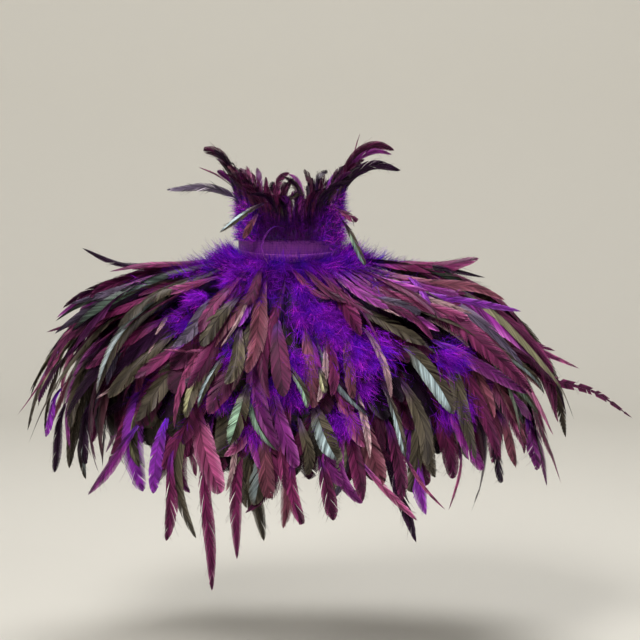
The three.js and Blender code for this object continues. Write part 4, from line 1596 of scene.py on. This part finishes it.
def lay_row(row):
    """A row's two pieces: its feathers, and its down with the puffs and, at the neck, the ruff."""
    node, count, length, width, under, strands_each = ROWS[row]
    groups = [sewn_group(row, count, length, width), placed_group(row), stray_group(row)]
    if under:
        groups.append(under_group(row, under, length, width))
    paths, faces, widths, kind, shape = join_groups(groups)
    paths[..., 1] = hold_within(paths[..., 1], DEPTH_HELD, DEPTH_GIVE)
    mesh, frames = grow_feathers(node + "_vanes", paths, faces, widths, kind, shape)
    vanes = add_piece(node + "_vanes", mesh, "row_plumage", node)
    sewn = len(groups[0][0])
    strands = down_on_feathers(paths[:sewn], [f[:sewn] for f in frames], strands_each, *DOWN_PART)
    many = len(strands[0])
    sets = [(*strands, rng.random(many), PLUM_ON_FEATHERS * rng.random(many) ** 2)]
    more = [puff_strands(row)]
    if row == 0:
        more += [ruff_strands(), band_wisps()]
    for roots, heads, outs, lit in more:
        many = len(roots)
        size = rng.uniform(*PUFF_LENGTHS, many) * MM
        tone = rng.uniform(*PUFF_TONES, many) * lit
        sets.append((roots, heads, outs, size, tone, PLUM_IN_PUFFS * rng.random(many)))
    fluff = grow_down(node + "_down", *[np.concatenate(part) for part in zip(*sets)])
    return vanes, add_piece(node + "_down", fluff, "row_plumage", node)


for row_index in range(ROW_COUNT):
    for made_piece in lay_row(row_index):
        describe(made_piece)

# %% [markdown]
# ## The collar
# The collar's feathers stand in the band, upright at first and then curling away from the neck, higher
# at the sides than at the back. Short down covers the band's top edge and fills the space above it.
# At each side a few long feathers stand out on their own, and these are placed one by one.

# %% The collar's feathers
COLLAR_ROOT = 14 * MM
COLLAR_INSET = 3 * MM
RISE, FLARE = range(2)
# how far the collar rises and flares there
COLLAR_SWEEP = {"side": (100 * MM, 40 * MM), "back": (56 * MM, 34 * MM), "front": (78 * MM, 30 * MM)}
COLLAR_HALF_GAP = 14 * MM
BLUNT_STRAY = 0
SPECKLED_STRAY = 1
BLACK_STRAY = 4
COLLAR_STRAYS = [
    # kind, width in millimetres, then the pixels and depths that it passes
    ("wine", 14, ((240, 237, 8), (236, 192, 6), (229, 169, 4), (220, 155, 2), (202, 149, 2))),
    ("slate", 9.5, ((241, 226, -16), (236, 199, -20), (216, 189, -24), (165, 190, -26))),
    ("silver", 7, ((272, 200, -56), (254, 208, -62), (236, 220, -66), (219, 233, -70))),
    ("wine", 12, ((332, 237, 4), (337, 193, 2), (347, 168, 2), (362, 150, 2), (378, 145, 4),
                  (396, 151, 6))),
    ("black", 12, ((334, 232, -6), (343, 189, -12), (357, 172, -16), (374, 165, -18), (402, 171, -18))),
    ("plum", 9, ((334, 206, -40), (346, 214, -50), (358, 221, -52))),
    ("green", 8, ((338, 214, -34), (350, 232, -42), (358, 250, -44), (366, 267, -44))),
    ("quill", 2, ((350, 168, 0), (357, 143, -2), (360, 133, -4))),
    ("quill", 2, ((232, 186, 0), (217, 175, -4), (198, 167, -8))),
    ("magenta", 9, ((240, 200, 2), (232, 182, 0), (217, 170, -4))),
    ("black", 10, ((240, 214, 2), (233, 184, 0), (225, 160, -2), (213, 149, -4))),
    ("magenta", 8, ((326, 206, 6), (342, 179, 4), (359, 158, 4), (377, 151, 4), (393, 155, 4))),
    ("mauve", 8, ((260, 210, -58), (251, 224, -60), (243, 239, -58))),
    ("violet", 2, ((288, 227, -62), (274, 227, -62), (264, 238, -61), (262, 249, -62), (269, 266, -68))),
]
COLLAR_STRAY_TRAITS = [
    (BLUNT_STRAY, "round", 0.7),
    (BLUNT_STRAY, "split", 0.03),
    (BLUNT_STRAY, "tone", 0.75),
    (SPECKLED_STRAY, "speck", 0.8),
    (SPECKLED_STRAY, "tone", 1.15),
    (BLACK_STRAY, "round", 0.2),
]


def collar_sweep(azimuth, which):
    """Rise or flare of the collar at an azimuth."""
    weight = np.sin(azimuth) ** 2
    middle = np.where(np.sin(azimuth) < 0, COLLAR_SWEEP["back"][which], COLLAR_SWEEP["front"][which])
    return middle * weight + COLLAR_SWEEP["side"][which] * (1 - weight)


def collar_paths(azimuth, reach, drift):
    """Quills that rise from the band and flare out."""
    s = np.linspace(0, 1, STATIONS)[None, :] * reach[:, None]
    turned = azimuth[:, None] + drift[:, None] * s ** 2
    height = COLLAR_ROOT + collar_sweep(azimuth, RISE)[:, None] * (1 - (1 - s) ** 2)
    flare = collar_sweep(azimuth, FLARE)[:, None] * s ** 2.4
    return round_neck(turned, flare - COLLAR_INSET * (1 - s), height), level_outward(turned)


def collar_stray_group():
    """The feathers that stand out of the collar on their own."""
    names = [s[0] for s in COLLAR_STRAYS]
    widths = np.array([s[1] for s in COLLAR_STRAYS]) * MM
    paths, faces = [], []
    for _, _, passes in COLLAR_STRAYS:
        knots = np.array([sight_point(*place) for place in passes])
        paths.append(curve_through(knots))
        away = unit(knots[0] * np.array([1, 1, 0])) + np.array([0, 0, 0.2])
        faces.append(np.tile(away + 1.3 * BACKWARD, (STATIONS, 1)))
    shape = named_shape(names)
    for stray, trait, value in COLLAR_STRAY_TRAITS:
        shape[trait][stray] = value
    return np.array(paths), np.array(faces), widths, named_kinds(names), shape


print("collar strays:", len(COLLAR_STRAYS))

# %% The collar's down and foot
FLUFF_STRANDS = 16000
FLUFF_LOWEST = BAND_TOP - 2 * MM
# how high the fluff goes, how much higher at the sides, and how long its strands are, in millimetres
FLUFF_HEIGHT, FLUFF_HEIGHT_AT_SIDES = 27, 30
FLUFF_LENGTHS = (4, 10)
SPILL_LOWEST = BAND_TOP - 14 * MM
SPILL_SHARE = 0.3
FOOT_TOP, FOOT_HEIGHT = 42 * MM, 24 * MM
FOOT_INSET, FOOT_LEAN = 1.4 * MM, 1 * MM
FOOT_WALL = 0.6 * MM
FOOT_FLAT = (0.34, 0.024)


def side_light(sideways):
    """How bright the collar's down is: the back is in shade, the two sides are lit."""
    return smooth_step(0.05, 0.7, sideways)


def collar_fluff():
    """Short strands above the band, thickest at the sides and painted brightest there, some spilled at the
    right.
    """
    azimuth = azimuth_at(rng.random(FLUFF_STRANDS), COLLAR_HALF_GAP, np.zeros(FLUFF_STRANDS))
    azimuth = azimuth[rng.random(FLUFF_STRANDS) < 0.6 + 0.4 * np.cos(azimuth) ** 2]
    sideways = np.cos(azimuth) ** 2
    count = len(azimuth)
    highest = FLUFF_HEIGHT + FLUFF_HEIGHT_AT_SIDES * sideways
    height = FLUFF_LOWEST + rng.random(count) ** 1.1 * highest * MM
    spilled = smooth_step(0.3, 0.8, np.cos(azimuth)) * (rng.random(count) < SPILL_SHARE)
    spilled = spilled * rng.random(count)
    height = height + (SPILL_LOWEST - height) * spilled
    roots = round_neck(azimuth, (rng.uniform(-4, 1.5, count) + 3 * spilled) * MM, height)
    outward = level_outward(azimuth)
    stand_off = rng.uniform(0, 0.55, (count, 1)) * np.where(np.cos(azimuth) < 0, 0.3, 1)[:, None]
    spread = outward * stand_off + rng.normal(0, 0.4, (count, 3))
    heads = unit(spread + np.array([0, 0, 1]) * rng.uniform(-0.2, 0.9, (count, 1)))
    # Painted light and shade: the sides' down is brighter as lit, the back's darker and more plum as shade.
    lit = side_light(sideways)
    tone = rng.random(count) * (0.5 + 1.75 * lit)
    size = rng.uniform(*FLUFF_LENGTHS, count) * MM
    return roots, heads, outward, size, tone, (1 - lit) * rng.random(count) ** 0.5


def collar_foot_place(share, down):
    """The tape that the collar's quills are sewn to: it stands up out of the band, in the down."""
    azimuth = azimuth_at(share, COLLAR_HALF_GAP, np.zeros_like(share))
    return round_neck(azimuth, -FOOT_INSET - FOOT_LEAN * down, FOOT_TOP - FOOT_HEIGHT * down)


print("the collar has up to", FLUFF_STRANDS, "strands of down")

# %% Make the collar
COLLAR_FEATHERS = 150
COLLAR_KIND_SHARES = (0.24, 0.2, 0.01, 0.11, 0.03, 0.05, 0.02, 0.32, 0.02, 0)
COLLAR_JITTER = 0.6
COLLAR_DRIFT, COLLAR_DRIFT_LIMIT = 0.2, 0.3
COLLAR_TONES = (0.35, 1.15)
COLLAR_SPLITS = 1.6
COLLAR_WIDTHS = (6, 12)
COLLAR_DOWN_EACH = 40
COLLAR_DOWN_PART = (0.14, 0.6)
COLLAR_DOWN_SIZE = 0.5


def make_collar():
    """The collar's three pieces: its feathers, its down and the tape at its foot."""
    count = COLLAR_FEATHERS
    share = (np.arange(count) + 0.5 + rng.uniform(-COLLAR_JITTER, COLLAR_JITTER, count)) / count
    azimuth = azimuth_at(share, COLLAR_HALF_GAP, np.zeros(count))
    sideways = np.cos(azimuth) ** 2
    reach = rng.uniform(0.55, 1.05 - 0.2 * sideways, count)
    to_gap = 0.5 * (smooth_step(0.94, 1, share) - smooth_step(0.06, 0, share))
    drift = np.clip(rng.normal(0, COLLAR_DRIFT, count), -COLLAR_DRIFT_LIMIT, COLLAR_DRIFT_LIMIT)
    paths, faces = collar_paths(azimuth, reach, drift + to_gap)
    kind = rng.choice(len(KINDS), count, p=COLLAR_KIND_SHARES)
    shape = random_shape(count)
    shape["tone"] = rng.uniform(*COLLAR_TONES, count)
    shape["split"] *= COLLAR_SPLITS
    widths = rng.uniform(*COLLAR_WIDTHS, count) * MM
    groups = [(paths, faces, widths, kind, shape), collar_stray_group()]
    paths, faces, widths, kind, shape = join_groups(groups)
    mesh, frames = grow_feathers("collar_vanes", paths, faces, widths, kind, shape)
    vanes = add_piece("collar_vanes", mesh, "collar_plumage", "collar_feathers")
    roots, heads, outs, size = down_on_feathers(paths[:count], [f[:count] for f in frames],
                                                COLLAR_DOWN_EACH, *COLLAR_DOWN_PART)
    # The same painted light and shade for the down on the collar's feathers.
    lit = np.repeat(side_light(sideways), COLLAR_DOWN_EACH)
    tone = rng.random(len(lit)) * (0.15 + 0.9 * lit)
    plum = (1 - lit) * rng.random(len(lit)) ** 0.5
    sets = [(roots, heads, outs, size * COLLAR_DOWN_SIZE, tone, plum), collar_fluff()]
    fluff = grow_down("collar_down", *[np.concatenate(part) for part in zip(*sets)])
    foot_mesh = cloth_wall("collar_foot", collar_foot_place, 128, 8, FOOT_FLAT, FOOT_WALL, YOKE_CLOTH)
    foot = add_piece("collar_foot", foot_mesh, "collar_plumage", "collar_feathers")
    return vanes, add_piece("collar_down", fluff, "collar_plumage", "collar_feathers"), foot


for made_piece in make_collar():
    describe(made_piece)

# %% [markdown]
# ## Stage, light and camera
# The shawl is shown as it is worn, so it hangs clear of the floor. A round floor that curves up into
# a wall on all sides gives an even pale ground from any angle. Large soft lights from above and both
# sides suit feathers: small hard lights would turn their gloss into glitter. The camera looks at the
# back, a little from above.

# %% The stage
FLOOR_Z = cad_box[0][2] - 0.1
FLOOR_RADIUS = 1.9
CURVE_RADIUS = 0.8
CURVE_POINTS = 17
WALL_HEIGHT = 1.5
STAGE_STEPS = 96
PAPER_COLOUR = (*linear(214, 211, 203), 1)


def stage_mesh(material):
    """A round floor that curves up into a wall all round: a profile drawn once and spun."""
    turn = np.linspace(0, np.pi / 2, CURVE_POINTS)
    out, rise = FLOOR_RADIUS + CURVE_RADIUS * np.sin(turn), CURVE_RADIUS * (1 - np.cos(turn))
    wall_top = (FLOOR_RADIUS + CURVE_RADIUS, CURVE_RADIUS + WALL_HEIGHT)
    outline = np.vstack([(0, 0), np.stack([out, rise], axis=1), wall_top])
    bm = bmesh.new()
    verts = [bm.verts.new((radius, 0, FLOOR_Z + height)) for radius, height in outline]
    edges = [bm.edges.new(pair) for pair in zip(verts, verts[1:])]
    bmesh.ops.spin(bm, geom=verts + edges, cent=(0, 0, 0), axis=(0, 0, 1), angle=2 * np.pi,
                   steps=STAGE_STEPS)
    bmesh.ops.remove_doubles(bm, verts=bm.verts[:], dist=MM)
    bmesh.ops.recalc_face_normals(bm, faces=bm.faces[:])
    for face in bm.faces:
        face.smooth = True
    return mesh_from(bm, "stage", material)


paper, _, paper_shader = new_material("stage_paper")
set_inputs(paper_shader, {"Base Color": PAPER_COLOUR, "Roughness": 0.9})
stage = bpy.data.objects.new("stage", stage_mesh(paper))
bpy.context.scene.collection.objects.link(stage)
print("floor at", round(FLOOR_Z, 3))

# %% Lights
LIGHTS = [
    # name, place, what it points at, size, power, colour
    ("key", (-0.7, -1.4, 1.6), (0, 0, -0.1), 0.9, 33, (1, 0.98, 0.95)),
    ("fill", (1.7, -1.3, 0.7), (0, 0, -0.1), 1.2, 11, (0.96, 0.97, 1)),
    ("top", (0.1, 0.2, 1.9), (0, 0, 0), 1.2, 17, (1, 1, 1)),
    ("wall", (0, 0.6, 1.8), (0, 1.7, 0.1), 1.6, 19, (1, 0.99, 0.97)),
]
WORLD_COLOUR = (0.9, 0.91, 0.93, 1)
WORLD_STRENGTH = 0.12


def aim_along(thing, direction):
    """Turns a light or a camera to look along a direction."""
    thing.rotation_euler = Vector([float(v) for v in direction]).to_track_quat("-Z", "Y").to_euler()


def area_light(name, place, target, size, power, colour):
    light = bpy.data.lights.new(name, "AREA")
    light.shape = "DISK"
    light.size = size
    light.energy = power
    light.color = colour
    lamp = bpy.data.objects.new(name, light)
    lamp.location = place
    aim_along(lamp, np.array(target) - np.array(place))
    bpy.context.scene.collection.objects.link(lamp)


for light_values in LIGHTS:
    area_light(*light_values)
world = bpy.data.worlds.new("world")
world.use_nodes = True
set_inputs(world.node_tree.nodes["Background"], {"Color": WORLD_COLOUR, "Strength": WORLD_STRENGTH})
bpy.context.scene.world = world
bpy.context.scene.view_settings.view_transform = "Standard"
print("lights:", [light_values[0] for light_values in LIGHTS])

# %% The camera
camera_data = bpy.data.cameras.new("camera")
camera_data.sensor_width = 36
camera_data.lens = camera_data.sensor_width * CAMERA_DISTANCE / FRAME_WIDTH
camera = bpy.data.objects.new("camera", camera_data)
camera.location = EYE
aim_along(camera, -VIEW_BACK)
bpy.context.scene.collection.objects.link(camera)
bpy.context.scene.camera = camera
print("lens", round(camera_data.lens, 1), "mm")
